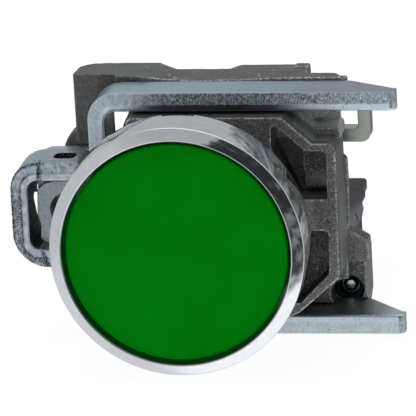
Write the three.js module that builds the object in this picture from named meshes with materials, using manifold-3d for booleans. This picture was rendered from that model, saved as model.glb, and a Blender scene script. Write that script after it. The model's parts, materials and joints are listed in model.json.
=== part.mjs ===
// Panel push button of the 22 mm class: a flush green button in a chromed
// metal head, a die-cast fixing collar with a clamp yoke that grips the panel,
// and one normally open contact block.
//
// Millimetres. The origin is the centre of the button cap's front face. +Y runs
// into the cabinet, so the button faces -Y. +Z is up and +X is right, as seen
// from the front. Depths (y) are written from the panel's front surface, which
// is the rear face of the gasket; the root group carries them to the origin.
import * as THREE from 'three';
import * as BGU from 'three/addons/utils/BufferGeometryUtils.js';
import Module from 'manifold-3d';

// ---------------------------------------------------------------- dimensions
// Sizes shared between pieces; each section below starts with its own.
const BIG_CIRCLE_SEGMENTS = 72;
const SMALL_RING_SEGMENTS = 48;
const SIDES = [-1, 1];         // left, right (or lower, upper)

const GASKET_FRONT = -1.35;
const BEZEL_REAR = GASKET_FRONT - 0.05;
const CAP_FACE = -7.3;
const BARREL_R = 11.0;         // fits a 22.5 mm panel hole

const SCREW_X = 16.05;         // clamp screw
const SCREW_Z = -10.9;
const SCREW_R = 1.4;

const BLOCK_Z = -10.0;         // middle height of the contact block
const BLOCK_JOINT = 34.0;      // depth where housing and cover meet
const TERMINAL_X = 10.4;       // terminal screws left and right
const TERMINAL_HOLE_R = 1.7;
const CONTACT_X = 5.2;         // contact tips left and right

// ------------------------------------------------------------------ finishes
const metal = (color, roughness, metalness = 1) => ({ color, roughness, metalness });
const matte = (color, roughness) => ({ color, roughness, metalness: 0 });

const FINISH = {
  chrome: metal(0xc9ccd1, 0.12),
  greenCap: matte(0x026d0a, 0.38),
  darkPlastic: matte(0x2c2d2f, 0.55),
  sealRubber: matte(0x151515, 0.75),
  gasketRubber: matte(0x17181a, 0.8),
  springSteel: metal(0x9a9ea3, 0.3),
  dieCast: metal(0x55565a, 0.5, 0.85),
  strip: metal(0x9fb0b8, 0.38, 0.9),
  clampScrew: metal(0xb9bec4, 0.25),
  clip: metal(0xa3ada3, 0.4, 0.9),
  blockPlastic: matte(0x2b2e33, 0.5),
  palePlastic: matte(0xd9d6cc, 0.5),
  copper: metal(0xb98a55, 0.35),
  silver: metal(0xd4d6d8, 0.3),
  terminalClamp: metal(0x9fb0b8, 0.4, 0.9),
  terminalScrew: metal(0xb9bec4, 0.3),
};

// ------------------------------------------------------------------- helpers
// A range is [from, to] along one axis. Ranges of cutting solids often run
// past the faces they open.
const wasm = await Module();
wasm.setup();

const around = (centre, half) => [centre - half, centre + half];

// range between two distances from the middle, on the negative or positive side
const span = (side, near, far) => (side > 0 ? [near, far] : [-far, -near]);

// the same points with the first coordinate mirrored when side is -1
const mirrored = (points, side) => points.map(([first, ...rest]) => [side * first, ...rest]);

function solid(geometry) {
  let bare = geometry.index ? geometry.toNonIndexed() : geometry.clone();
  for (const name of Object.keys(bare.attributes)) {
    if (name !== 'position') bare.deleteAttribute(name);
  }
  bare = BGU.mergeVertices(bare, 1e-4);
  const mesh = new wasm.Mesh({
    numProp: 3,
    vertProperties: new Float32Array(bare.attributes.position.array),
    triVerts: new Uint32Array(bare.index.array),
  });
  mesh.merge();
  return new wasm.Manifold(mesh);
}

function geometryOf(manifold) {
  const mesh = manifold.getMesh();
  const geometry = new THREE.BufferGeometry();
  const positions = new Float32Array(mesh.vertProperties);
  geometry.setAttribute('position', new THREE.BufferAttribute(positions, 3));
  geometry.setIndex(new THREE.BufferAttribute(new Uint32Array(mesh.triVerts), 1));
  geometry.computeVertexNormals();
  return geometry;
}

const box = ([x0, x1], [y0, y1], [z0, z1]) =>
  solid(new THREE.BoxGeometry(x1 - x0, y1 - y0, z1 - z0)
    .translate((x0 + x1) / 2, (y0 + y1) / 2, (z0 + z1) / 2));

// cylinder along Y; frontRadius makes it taper
const rod = (radius, [y0, y1], { x = 0, z = 0, segments = 32, frontRadius = radius } = {}) =>
  solid(new THREE.CylinderGeometry(radius, frontRadius, y1 - y0, segments)
    .translate(x, (y0 + y1) / 2, z));

// cylinder along X
const rodX = (radius, [x0, x1], { y, z, segments = 24 }) =>
  solid(new THREE.CylinderGeometry(radius, radius, x1 - x0, segments)
    .rotateZ(Math.PI / 2)
    .translate((x0 + x1) / 2, y, z));

// Solid turned about the Y axis from [radius, y] points. A profile that
// touches the axis starts and ends on it; any other is a closed ring.
function turned(profile, segments = BIG_CIRCLE_SEGMENTS) {
  let area = 0;
  profile.forEach(([radius, y], i) => {
    const [nextRadius, nextY] = profile[(i + 1) % profile.length];
    area += radius * nextY - nextRadius * y;
  });
  const points = profile.slice();
  if (area <= 0) points.reverse();
  if (points[0][0] !== 0) points.push(points[0]);
  return solid(new THREE.LatheGeometry(
    points.map(([radius, y]) => new THREE.Vector2(radius, y)), segments));
}

// Polygon with filleted corners: [first, second, fillet radius]. The radius may
// be left out. steps is the number of facets in a quarter turn.
function rounded(corners, steps) {
  const nearlyStraight = 1.46;       // half angle, radians; such corners stay sharp
  const points = [];
  const total = corners.length;
  corners.forEach(([x, y, radius = 0], i) => {
    const [previousX, previousY] = corners[(i + total - 1) % total];
    const [nextX, nextY] = corners[(i + 1) % total];
    const toPrevious = new THREE.Vector2(previousX - x, previousY - y).normalize();
    const toNext = new THREE.Vector2(nextX - x, nextY - y).normalize();
    const half = Math.acos(THREE.MathUtils.clamp(toPrevious.dot(toNext), -1, 1)) / 2;
    if (!radius || half > nearlyStraight) {
      points.push([x, y]);
      return;
    }
    const setback = radius / Math.tan(half);
    const centre = toPrevious.clone().add(toNext).normalize()
      .multiplyScalar(radius / Math.sin(half));
    const start = toPrevious.multiplyScalar(setback).sub(centre);
    const end = toNext.multiplyScalar(setback).sub(centre);
    const startAngle = Math.atan2(start.y, start.x);
    let endAngle = Math.atan2(end.y, end.x);
    if (endAngle - startAngle > Math.PI) endAngle -= 2 * Math.PI;
    if (startAngle - endAngle > Math.PI) endAngle += 2 * Math.PI;
    const sweep = endAngle - startAngle;
    const facets = Math.max(1, Math.round(steps * Math.abs(sweep) / (Math.PI / 2)));
    for (let k = 0; k <= facets; k++) {
      const angle = startAngle + sweep * k / facets;
      points.push([
        x + centre.x + radius * Math.cos(angle),
        y + centre.y + radius * Math.sin(angle),
      ]);
    }
  });
  return points;
}

const shapeOf = (points) => new THREE.Shape(points.map(([x, y]) => new THREE.Vector2(x, y)));

const extruded = (points, depth) =>
  new THREE.ExtrudeGeometry(shapeOf(points), { depth, bevelEnabled: false });

// [x, z] outline swept along Y
const prismY = (points, [y0, y1]) =>
  solid(extruded(points, y1 - y0).rotateX(Math.PI / 2).translate(0, y1, 0));

// [x, y] outline swept along Z
const prismZ = (points, [z0, z1]) => solid(extruded(points, z1 - z0).translate(0, 0, z0));

class Helix extends THREE.Curve {
  constructor(size) {
    super();
    Object.assign(this, size);
  }

  getPoint(t, target = new THREE.Vector3()) {
    const angle = t * this.turns * 2 * Math.PI;
    return target.set(
      this.radius * Math.cos(angle),
      this.y0 + (this.y1 - this.y0) * t,
      this.z + this.radius * Math.sin(angle),
    );
  }
}

// round-wire spring along Y; wire is the wire's diameter
function spring({ radius, wire, depth: [front, rear], turns, z = 0, perTurn, sides }) {
  const section = [];
  for (let i = 0; i < sides; i++) {
    const angle = (i / sides) * 2 * Math.PI;
    section.push([wire / 2 * Math.cos(angle), wire / 2 * Math.sin(angle)]);
  }
  const path = new Helix({ radius, y0: front + wire / 2, y1: rear - wire / 2, turns, z });
  return solid(new THREE.ExtrudeGeometry(shapeOf(section), {
    steps: Math.round(turns * perTurn),
    bevelEnabled: false,
    extrudePath: path,
  }));
}

const root = new THREE.Group();
root.position.y = -CAP_FACE;

function part(name, manifold, finish) {
  const mesh = new THREE.Mesh(geometryOf(manifold), new THREE.MeshStandardMaterial(finish));
  mesh.name = name;
  root.add(mesh);
}

// ---------------------------------------------------------------------- head
const BEZEL_R = 14.5;
const LIP_R = 13.1;            // inner edge of the conical front ring
const LIP_Y = -7.9;
const CONE_Y = -7.15;          // rear edge of the cone
const CUP_R = LIP_R - 0.07;
const CUP_FLOOR = -2.0;
const BARREL_END = 17.5;
const BARREL_FLAT = 10.0;      // half distance over the two flats
const BORE_R = 9.3;
const SLEEVE_R = 6.3;          // guide sleeve for the pusher stem
const SLEEVE_FRONT = 6.0;
const SLEEVE_REAR = 12.4;
const KEY_HALF_WIDTH = 1.4;
const CAP_R = 12.68;
const CAP_BACK = -6.4;
const CAP_EDGE = 0.25;         // chamfer round the cap's face
const SKIRT_OUTER_R = 8.2;     // ring behind the cap
const SKIRT_INNER_R = 7.25;
const SKIRT_END = -3.5;
const STEM_R = 6.05;           // hollow pusher stem
const STEM_BORE_R = 4.6;
const STEM_END = 12.55;
const PLATE_FRONT = 12.6;
const PLATE_REAR = 14.5;
const PLATE_R = 9.05;
const GASKET_R = 13.85;
const GASKET_BORE_R = 11.1;

// One casting: conical front ring, side wall, cup for the cap, and the
// threadless barrel with a guide sleeve inside.
function bezel() {
  let head = turned([
    [LIP_R, LIP_Y],
    [BEZEL_R - 0.06, CONE_Y - 0.03], [BEZEL_R, CONE_Y + 0.12],
    [BEZEL_R, BEZEL_REAR - 0.2], [BEZEL_R - 0.2, BEZEL_REAR],
    [BARREL_R, BEZEL_REAR],
    [BARREL_R, BARREL_END - 0.5], [BARREL_R - 0.5, BARREL_END],
    [BORE_R, BARREL_END], [BORE_R, SLEEVE_REAR],
    [SLEEVE_R, SLEEVE_REAR], [SLEEVE_R, SLEEVE_FRONT],
    [BORE_R, SLEEVE_FRONT], [BORE_R, CUP_FLOOR],
    [CUP_R, CUP_FLOOR], [CUP_R, LIP_Y + 0.15],
  ]);
  // flats on both sides of the barrel, so the yoke's leg can pass
  for (const side of SIDES) {
    head = head.subtract(box(span(side, BARREL_FLAT, 12), [0.8, 19], [-12, 12]));
  }
  // anti-turn key on top of the barrel, and the mark notch in the rear rim
  head = head
    .add(box(around(0, KEY_HALF_WIDTH), [BEZEL_REAR - 0.3, 5.2], [10.4, 12.0]))
    .subtract(box(around(0, 1.85), [BEZEL_REAR - 0.7, 0], [13.95, 15.5]));
  // grooves in the left wall that the locking lever's two prongs engage
  for (const side of SIDES) {
    head = head.subtract(box([-13, -8.9], [12.55, 14.65], span(side, 4.4, 6.8)));
  }
  return head;
}

const buttonCap = () => turned([
  [0, CAP_FACE], [CAP_R - CAP_EDGE, CAP_FACE], [CAP_R, CAP_FACE + CAP_EDGE], [CAP_R, CAP_BACK],
  [SKIRT_OUTER_R, CAP_BACK], [SKIRT_OUTER_R, SKIRT_END],
  [SKIRT_INNER_R, SKIRT_END], [SKIRT_INNER_R, CAP_BACK], [0, CAP_BACK],
]);

// closed front, a flange behind the cap's skirt, and the hollow stem
const pusher = () => turned([
  [0, -6.3], [7.15, -6.3], [7.15, -3.4], [8.3, -3.4], [8.3, -2.2], [STEM_R, -2.2],
  [STEM_R, STEM_END], [STEM_BORE_R, STEM_END], [STEM_BORE_R, -4.8], [0, -4.8],
], SMALL_RING_SEGMENTS);

// disc behind the stem, with a spigot that fits inside it
const pusherPlate = () => turned([
  [0, 8.6], [STEM_BORE_R - 0.1, 8.6], [STEM_BORE_R - 0.1, PLATE_FRONT],
  [PLATE_R, PLATE_FRONT], [PLATE_R, PLATE_REAR], [0, PLATE_REAR],
], SMALL_RING_SEGMENTS);

const lipSeal = () => turned(
  [[8.45, -1.7], [9.22, -1.9], [9.22, 0.4], [8.75, 0.4]], SMALL_RING_SEGMENTS);

function panelGasket() {
  const keySlot = box(around(0, KEY_HALF_WIDTH + 0.2), [-2, 1], [10, 12.25]);
  return turned([
    [GASKET_BORE_R, GASKET_FRONT], [GASKET_R, GASKET_FRONT],
    [GASKET_R, 0], [GASKET_BORE_R, 0],
  ]).subtract(keySlot);
}

const headSpring = () => spring({
  radius: 7.4, wire: 0.8, depth: [-2.15, 5.95], turns: 4.5, perTurn: 20, sides: 6,
});

// ------------------------------------------------------------- fixing collar
const COLLAR_BORE = 11.15;
const RIM_FRONT = 6.0;         // front plane of the raised rim
const WEB_FRONT = 11.6;        // front plane of the web behind the rim
const BODY_REAR = 18.5;
const LEFT_X = -15.0;
const HALF_HEIGHT = 15.0;
const RIM_HALF_HEIGHT = 11.85;
const THROUGH_BODY = [10, 20];

// raised rim, seen along Y: [x, z, fillet radius]; its left side is straight
const RIM_OUTLINE = [
  [-7.6, RIM_HALF_HEIGHT, 0.6], [10.4, RIM_HALF_HEIGHT, 0.5], [13.75, 8.75, 0.4],
  [15.9, 8.75, 0.7], [16.45, 8.0, 0.4], [16.25, -7.15, 0.4], [11.5, -11.3, 0.4],
  [10.4, -RIM_HALF_HEIGHT, 0.3], [-7.6, -RIM_HALF_HEIGHT, 0.6],
];

// pockets in the rim's right corners: [x, z, fillet radius]
const UPPER_POCKET = [
  [9.1, 10.75, 0.3], [9.75, 10.75, 0.2], [13.0, 7.85, 0.2], [15.35, 7.85, 0.35],
  [15.25, 2.15, 0.2], [11.6, 2.15, 0.1], [9.1, 8.2, 0.1],
];
const LOWER_POCKET = [
  [12.0, -1.55, 0.2], [15.2, -1.55, 0.4], [15.05, -6.7, 0.3], [11.6, -10.2, 0.2],
  [9.3, -10.2, 0.2], [9.3, -8.2, 0.1],
];

// body behind the rim, seen along Z: [x, y]
const BODY_OUTLINE = [
  [LEFT_X, WEB_FRONT], [16.4, WEB_FRONT], [16.4, 12.4], [15.4, 17.2], [15.4, BODY_REAR],
  [-11.6, BODY_REAR + 0.3], [-13.2, 18.6], [-14.2, 18.0], [-14.8, 17.2], [LEFT_X, 14.6],
];

// see-through gap between the upper left block and the web: [x, z]
const GAP_OUTLINE = [
  [-10.55, 6.0], [-10.55, 12.9], [-7.9, 12.9], [-8.0, 12.0], [-8.35, 10.7],
  [-8.85, 9.8], [-9.1, 9.1], [-9.3, 8.5], [-9.8, 7.5], [-10.05, 6.0],
];

// cut along the rear edge of the top flange: [x, y]
const TOP_FLANGE_CUT = [
  [-5.4, 20], [-5.4, 18.5], [-3.0, 15.9], [3.1, 15.9], [4.1, 17.6], [11.6, 17.6],
  [12.4, 14.3], [15.6, 14.2], [16.6, 13.2], [17.5, 13.2], [17.5, 20],
];

// foot of the upper left block, and rib on the right wall: [x, z, fillet radius]
const LEFT_FOOT = [
  [-14.6, 8.7], [-15.2, 8.15], [-15.9, 7.55, 0.3], [-16.3, 7.0, 0.3],
  [-16.75, 5.9, 0.2], [-13.2, 5.9], [-13.2, 8.7],
];
const RIGHT_RIB = [
  [16.1, 5.8], [16.75, 5.2, 0.2], [16.8, 2.2, 0.2], [16.65, -3.2, 0.1], [16.1, -3.4],
];

function collarRim() {
  // two pads at different depths are left standing in the upper pocket
  const upperPocket = prismY(rounded(UPPER_POCKET, 3), [RIM_FRONT - 1, 10.6])
    .subtract(box([12.35, 16], [8.0, 11], [5.0, 8.2]))
    .subtract(box([12.35, 16], [8.8, 11], [2.9, 5.0]));
  return prismY(rounded(RIM_OUTLINE, 4), [RIM_FRONT, WEB_FRONT + 0.3])
    .subtract(upperPocket)
    .subtract(prismY(rounded(LOWER_POCKET, 3), [RIM_FRONT - 1, 9.4]));
}

function collarBody() {
  const gapBelow = GAP_OUTLINE.map(([x, z]) => [x, -z]);
  const upperRightRecess = rounded([[11.0, 9.05, 0.2], [17.5, 9.05], [17.5, 12.9], [8.6, 12.9]], 3);
  const topRightCorner = [[15.9, 15.5], [16.9, 14.6], [17.5, 14.6], [17.5, 16], [15.9, 16]];
  // rear cavity for the blocks' latches; a round boss stays round the bore
  const cavity = box([-13.4, 14.2], [15.0, 20], around(0, 12.9))
    .subtract(rod(12.4, [10, 17.2], { segments: BIG_CIRCLE_SEGMENTS }));

  return prismZ(BODY_OUTLINE, around(0, HALF_HEIGHT))
    // room for the yoke: upper arm, lower arm, leg
    .subtract(box([-20, 30], [10, 12.9], [11.95, 20]))
    .subtract(box([-20, 30], [10, 14.6], [-20, -11.95]))
    .subtract(box([-20, -9.9], [10, 13.9], [-20, 20]))
    // room for the locking lever on the left
    .subtract(box([-20, -9.0], [10, 20], [-6.9, 6.6]))
    .subtract(prismY(GAP_OUTLINE, THROUGH_BODY))
    .subtract(prismY(gapBelow, THROUGH_BODY))
    .subtract(prismY(upperRightRecess, [10, 14.0]))
    .subtract(cavity)
    .subtract(prismZ(TOP_FLANGE_CUT, [12.9, 16]))
    .subtract(prismY(topRightCorner, THROUGH_BODY));
}

// lug for the clamp screw, at the lower right
function screwLug() {
  const left = 13.9;
  const rear = 18.0;
  const frontStep = rounded([
    [left, -3.6, 0.2], [16.9, -3.7, 0.3], [18.7, -4.75, 0.3], [18.75, -7.3, 0.2], [left, -7.3],
  ], 3);
  const block = [[left, 13.5], [18.15, 13.5], [18.45, 16.5], [18.3, rear], [left, rear]];
  const bottom = [[left, -11.9], [18.3, -11.9], [18.05, -13.3], [left, -13.3]];
  return prismY(frontStep, [12.6, 15.2])
    .add(prismZ(block, [-11.95, -6.4]))
    .add(prismY(bottom, [14.65, rear]));
}

function fixingCollar() {
  const screwAxis = { x: SCREW_X, z: SCREW_Z };
  return collarRim()
    .add(collarBody())
    .add(prismY(rounded(LEFT_FOOT, 3), [14.6, 17.3]))
    .add(prismY(rounded(RIGHT_RIB, 3), [12.1, 13.1]))
    // top edge: lip that a block hook catches, upright lug, right end of the flange
    .add(box([4.2, 10.8], [15.6, 17.3], [13.0, 14.0]))
    .add(box([10.6, 12.3], [15.6, 17.3], [13.4, 15.25]))
    .add(box([15.9, 17.0], [12.95, 14.1], [12.95, 14.6]))
    .add(screwLug())
    // stepped hole for the clamp screw
    .subtract(rod(1.8, [10, 16.4], screwAxis))
    .subtract(rod(SCREW_R + 0.2, [15, 21], screwAxis))
    // slot for the latch clip's tail
    .subtract(box([13.4, 18.5], [14.3, 16.9], [6.2, 8.4]))
    // bore for the barrel
    .subtract(rod(COLLAR_BORE, [5, 21], { segments: BIG_CIRCLE_SEGMENTS }));
}

// ---------------------------------------------------------------- clamp yoke
const YOKE_FRONT = 7.6;
const YOKE_REAR = 12.6;        // rear edge of the upper arm
const LOWER_ARM_REAR = 14.3;
const ARM_INNER_Z = 12.15;
const ARM_OUTER_Z = 14.4;
const LEG_OUTER_X = -12.3;
const LEG_INNER_X = -10.3;
const ARM_TIP_X = 23.3;
const TIP_RADIUS = 0.9;

// U-shaped strip, open to the right. Its front edges press on the panel.
function clampYoke() {
  const upperZone = [9, 20];
  const lowerZone = [-20, -9];
  const strip = rounded([
    [ARM_TIP_X, ARM_OUTER_Z], [LEG_OUTER_X, ARM_OUTER_Z, 3.3],
    [LEG_OUTER_X, -ARM_OUTER_Z, 3.3], [ARM_TIP_X, -ARM_OUTER_Z],
    [ARM_TIP_X, -ARM_INNER_Z], [LEG_INNER_X, -ARM_INNER_Z, 1.3],
    [LEG_INNER_X, ARM_INNER_Z, 1.3], [ARM_TIP_X, ARM_INNER_Z],
  ], 6);
  const upperArmRear = [
    [-20, YOKE_REAR], [17.6, YOKE_REAR], [22.9, 9.3], [30, 9.3], [30, 20], [-20, 20],
  ];
  const lowerArmTaper = [[18.4, LOWER_ARM_REAR], [22.9, 9.2], [30, 9.2], [30, 20], [18.4, 20]];
  const lowerArmLeft = [
    [-20, YOKE_REAR], [-9.0, YOKE_REAR], [-6.5, LOWER_ARM_REAR], [-6.5, 20], [-20, 20],
  ];
  // rounds the front corner of both tips: [x, y]
  const tipCorner = [
    [ARM_TIP_X - TIP_RADIUS, YOKE_FRONT],
    [ARM_TIP_X + 0.3, YOKE_FRONT - 1],
    [ARM_TIP_X + 0.3, YOKE_FRONT + TIP_RADIUS],
    [ARM_TIP_X, YOKE_FRONT + 0.95 * TIP_RADIUS],
    [ARM_TIP_X - 0.12 * TIP_RADIUS, YOKE_FRONT + 0.45 * TIP_RADIUS],
    [ARM_TIP_X - 0.45 * TIP_RADIUS, YOKE_FRONT + 0.12 * TIP_RADIUS],
  ];
  return prismY(strip, [YOKE_FRONT, LOWER_ARM_REAR])
    .subtract(prismZ(upperArmRear, upperZone))
    // rear edge of the leg, and of its lower end
    .subtract(box([-20, -9], [11.3, 20], [-9, 9.01]))
    .subtract(box([-20, -5], [YOKE_REAR, 20], [-ARM_INNER_Z, -9]))
    .subtract(prismZ(lowerArmTaper, lowerZone))
    .subtract(prismZ(lowerArmLeft, lowerZone))
    .subtract(prismZ(tipCorner, [-20, 20]));
}

// --------------------------------------------------------------- clamp screw
// Smooth shaft with a ring groove in its front end and a slot in its rear end.
function clampScrew() {
  const rear = 22.2;
  return turned([
    [0, 15.2], [0.6, 15.3], [0.87, 15.6], [0.87, 15.95], [1.15, 15.95], [1.15, 14.7],
    [1.25, 14.6], [1.6, 14.6], [1.6, 16.1], [SCREW_R, 16.1],
    [SCREW_R, rear - 0.3], [SCREW_R - 0.3, rear], [0, rear],
  ], 32)
    .subtract(box(around(0, 0.3), [21.1, 23], [-3, 3]))
    .translate([SCREW_X, 0, SCREW_Z]);
}

// ------------------------------------------------------------- locking lever
// strip bent to a loop that opens to the right: [x, z, fillet radius]
const LEVER_LOOP = [
  [-13.5, 6.35], [-21.7, 6.35, 3.3], [-21.75, -5.3, 3.8], [-17.6, -6.35, 1.5], [-13.5, -6.35],
  [-13.5, -4.1], [-19.75, -4.1, 1.3], [-19.7, 4.15, 1.1], [-13.5, 4.15],
];

// plate inside the loop: [x, z, fillet radius]
const FINGER_PLATE = [
  [-18.9, 3.4, 1.5], [-13.5, 3.4], [-13.5, -4.3], [-18.4, -4.3, 0.4], [-19.0, -3.4, 0.4],
];

// rear plate with the two prongs: [x, z]
const PRONG_PLATE = [
  [-18.9, 5.9], [-18.9, -5.9], [-9.15, -6.35], [-9.15, -4.75], [-10.6, -4.75],
  [-10.6, 4.75], [-9.15, 4.75], [-9.15, 6.35],
];

// It is pulled outward to let the collar off the barrel.
function lockingLever() {
  const window = rounded([
    [-16.9, 8.8, 0.7], [-14.4, 8.8, 0.7], [-14.4, 11.1, 0.7], [-16.9, 11.1, 0.7],
  ], 4);
  const fingerPlate = prismY(rounded(FINGER_PLATE, 5), [9.0, 10.4])
    .subtract(rod(2.1, [8, 12], { x: -15.45, z: -0.2, segments: 24 }));
  return prismY(rounded(LEVER_LOOP, 6), [7.0, 12.8])
    .subtract(prismZ(window, [3, 8]))
    .add(fingerPlate)
    .add(prismY(PRONG_PLATE, [12.7, 14.2]));
}

// ---------------------------------------------------------------- latch clip
const latchClip = () => prismY(rounded([
  [19.3, 10.9, 0.15], [17.85, 10.9, 0.15], [17.85, 8.1, 0.3],
  [13.8, 8.1], [13.8, 6.5], [19.3, 6.5, 1.0],
], 4), [14.6, 16.6]);

// ------------------------------------------------------------- contact block
const BLOCK_FRONT = 19.2;
const BLOCK_REAR = 38.8;
const BLOCK_HALF_LENGTH = 13.9;
const BLOCK_HALF_WIDTH = 5;
const BLOCK_WALL = 1;
const FLARE_REAR = BLOCK_JOINT - 0.05;
const BRIDGE_FRONT = 26.0;
const BRIDGE_REAR = 26.6;

// right end of the housing: flared top edge [x, y], the cut that slants its
// underside [x, z], and the ridge along the end wall [x, z]
const FLARE = [
  [13.5, 27.0], [14.1, 27.0], [14.45, 27.8], [15.4, 31.0], [15.4, FLARE_REAR],
  [13.5, FLARE_REAR],
];
const FLARE_UNDERCUT = [[13.95, -7.6], [15.6, -5.6], [15.6, -7.6]];
const END_RIDGE = [
  [13.5, -7.2], [13.9, -7.2], [14.33, -8.85], [14.33, -9.05], [13.9, -10.4], [13.5, -10.4],
];

// right half of the cover's outline, from the top down: [x, z, fillet radius]
const COVER_RIGHT = [
  [14.9, -5.0, 0.4], [14.9, -6.3, 0.3], [14.1, -7.5], [14.38, -8.75, 0.1],
  [14.1, -10.1], [14.1, -15.0, 0.3],
];

function blockHousing() {
  const inside = box(
    around(0, BLOCK_HALF_LENGTH - BLOCK_WALL),
    [20.4, 35],
    around(BLOCK_Z, BLOCK_HALF_WIDTH - BLOCK_WALL));
  let housing = box(
    around(0, BLOCK_HALF_LENGTH),
    [BLOCK_FRONT, BLOCK_JOINT],
    around(BLOCK_Z, BLOCK_HALF_WIDTH))
    .subtract(inside)
    // opening for the plunger
    .subtract(box(around(0, 2.2), [18, 22], [-12.6, -6.15]));
  for (const side of SIDES) {
    const flare = prismZ(mirrored(FLARE, side), [-7.4, -5.0])
      .subtract(prismY(mirrored(FLARE_UNDERCUT, side), [26, 35]));
    housing = housing
      // latch foot on the front
      .add(box(span(side, 11.4, 12.8), [17.2, 19.4], around(BLOCK_Z, 2)))
      .add(flare)
      .add(prismY(mirrored(END_RIDGE, side), [21.5, FLARE_REAR]))
      // wire entry through the end wall
      .subtract(rodX(1.25, span(side, 12.5, 14.6), { y: 32.1, z: BLOCK_Z - 2.3 }));
  }
  return housing;
}

function blockCover() {
  const outline = rounded([...COVER_RIGHT, ...mirrored(COVER_RIGHT, -1).reverse()], 3);
  let cover = prismY(outline, [BLOCK_JOINT + 0.05, BLOCK_REAR]);
  // tapered wells over the terminal screws
  for (const side of SIDES) {
    const well = { x: side * TERMINAL_X, z: BLOCK_Z, frontRadius: 2.7 };
    cover = cover.subtract(rod(3.1, [33, 40], well));
  }
  // shallow recess in the middle of the rear face
  return cover.subtract(box(around(0, 5.5), [37.2, 40], around(BLOCK_Z, 3.4)));
}

function blockPlunger() {
  const top = -6.35;
  return box(around(0, 2.0), [14.8, 19.2], [-8.75, top])
    .add(box(around(0, 2.0), [18.8, 21.4], [-12.4, top]))
    .add(box(around(0, 1.9), [21.0, 29.4], around(BLOCK_Z, 1.9)))
    // window for the contact bridge and its spring
    .subtract(box([-3, 3], [21.6, 26.7], around(BLOCK_Z, 1.1)))
    // seat for the plunger spring
    .subtract(rod(1.35, [27.5, 30], { z: BLOCK_Z, segments: 24 }));
}

const plungerSpring = () => spring({
  radius: 1.0, wire: 0.3, depth: [27.55, 33.95], turns: 7, z: BLOCK_Z, perTurn: 12, sides: 5,
});

const bridgeSpring = () => spring({
  radius: 0.8, wire: 0.28, depth: [21.65, 25.95], turns: 5, z: BLOCK_Z, perTurn: 12, sides: 5,
});

const bridgeContact = () => prismY(rounded([
  [-6.4, BLOCK_Z + 1, 0.4], [6.4, BLOCK_Z + 1, 0.4],
  [6.4, BLOCK_Z - 1, 0.4], [-6.4, BLOCK_Z - 1, 0.4],
], 4), [BRIDGE_FRONT, BRIDGE_REAR]);

const contactTip = (side, depth) =>
  rod(0.9, depth, { x: side * CONTACT_X, z: BLOCK_Z, segments: 20 });

// rectangular plate with a hole for the terminal screw
const terminalPlate = (side, [near, far], depth, halfWidth) =>
  box(span(side, near, far), depth, around(BLOCK_Z, halfWidth))
    .subtract(rod(TERMINAL_HOLE_R, [30, 35], { x: side * TERMINAL_X, z: BLOCK_Z, segments: 24 }));

// screw with a cross recess in its rear-facing head
function terminalScrew(side) {
  const recess = [34.9, 37];
  return turned([
    [0, 27.2], [1.2, 27.2], [1.5, 27.5], [1.5, 33.85],
    [2.4, 33.85], [2.4, 35.7], [2.2, 35.9], [0, 35.9],
  ], 24)
    .subtract(box(around(0, 0.35), recess, [-3, 3]))
    .subtract(box([-3, 3], recess, around(0, 0.35)))
    .translate([side * TERMINAL_X, 0, BLOCK_Z]);
}

// ------------------------------------------------------------------ assembly
part('bezel', bezel(), FINISH.chrome);
part('button_cap', buttonCap(), FINISH.greenCap);
part('pusher', pusher(), FINISH.darkPlastic);
part('pusher_plate', pusherPlate(), FINISH.darkPlastic);
part('lip_seal', lipSeal(), FINISH.sealRubber);
part('panel_gasket', panelGasket(), FINISH.gasketRubber);
part('head_spring', headSpring(), FINISH.springSteel);
part('fixing_collar', fixingCollar(), FINISH.dieCast);
part('clamp_yoke', clampYoke(), FINISH.strip);
part('clamp_screw', clampScrew(), FINISH.clampScrew);
part('locking_lever', lockingLever(), FINISH.strip);
part('latch_clip', latchClip(), FINISH.clip);
part('block_housing', blockHousing(), FINISH.blockPlastic);
part('block_cover', blockCover(), FINISH.blockPlastic);
part('block_plunger', blockPlunger(), FINISH.palePlastic);
part('plunger_spring', plungerSpring(), FINISH.springSteel);
part('bridge_spring', bridgeSpring(), FINISH.springSteel);
part('bridge_contact', bridgeContact(), FINISH.copper);

for (const side of SIDES) {
  const name = side < 0 ? 'left' : 'right';
  const fixedContact = terminalPlate(side, [4.0, 12.6], [30.7, 31.5], 3.95);
  const clamp = terminalPlate(side, [8.0, 12.7], [33.0, 33.8], 2.3);
  part(`bridge_tip_${name}`, contactTip(side, [BRIDGE_REAR + 0.02, 27.4]), FINISH.silver);
  part(`fixed_tip_${name}`, contactTip(side, [30.02, 30.68]), FINISH.silver);
  part(`fixed_contact_${name}`, fixedContact, FINISH.copper);
  part(`terminal_clamp_${name}`, clamp, FINISH.terminalClamp);
  part(`terminal_screw_${name}`, terminalScrew(side), FINISH.terminalScrew);
}

export default root;
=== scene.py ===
"""A green panel push button: chromed head, die-cast fixing collar, clamp yoke with its
locking lever, and a contact block at the rear.

Shapes are written in millimetres. The button's axis lies along Y with its face towards -Y,
X runs to the right and Z up. Y = 0 is the panel's front surface, the rear of the gasket.
"""
import json
import math
from contextlib import contextmanager

import bpy
import bmesh
import numpy as np
from mathutils import Matrix, Vector, noise


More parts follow.
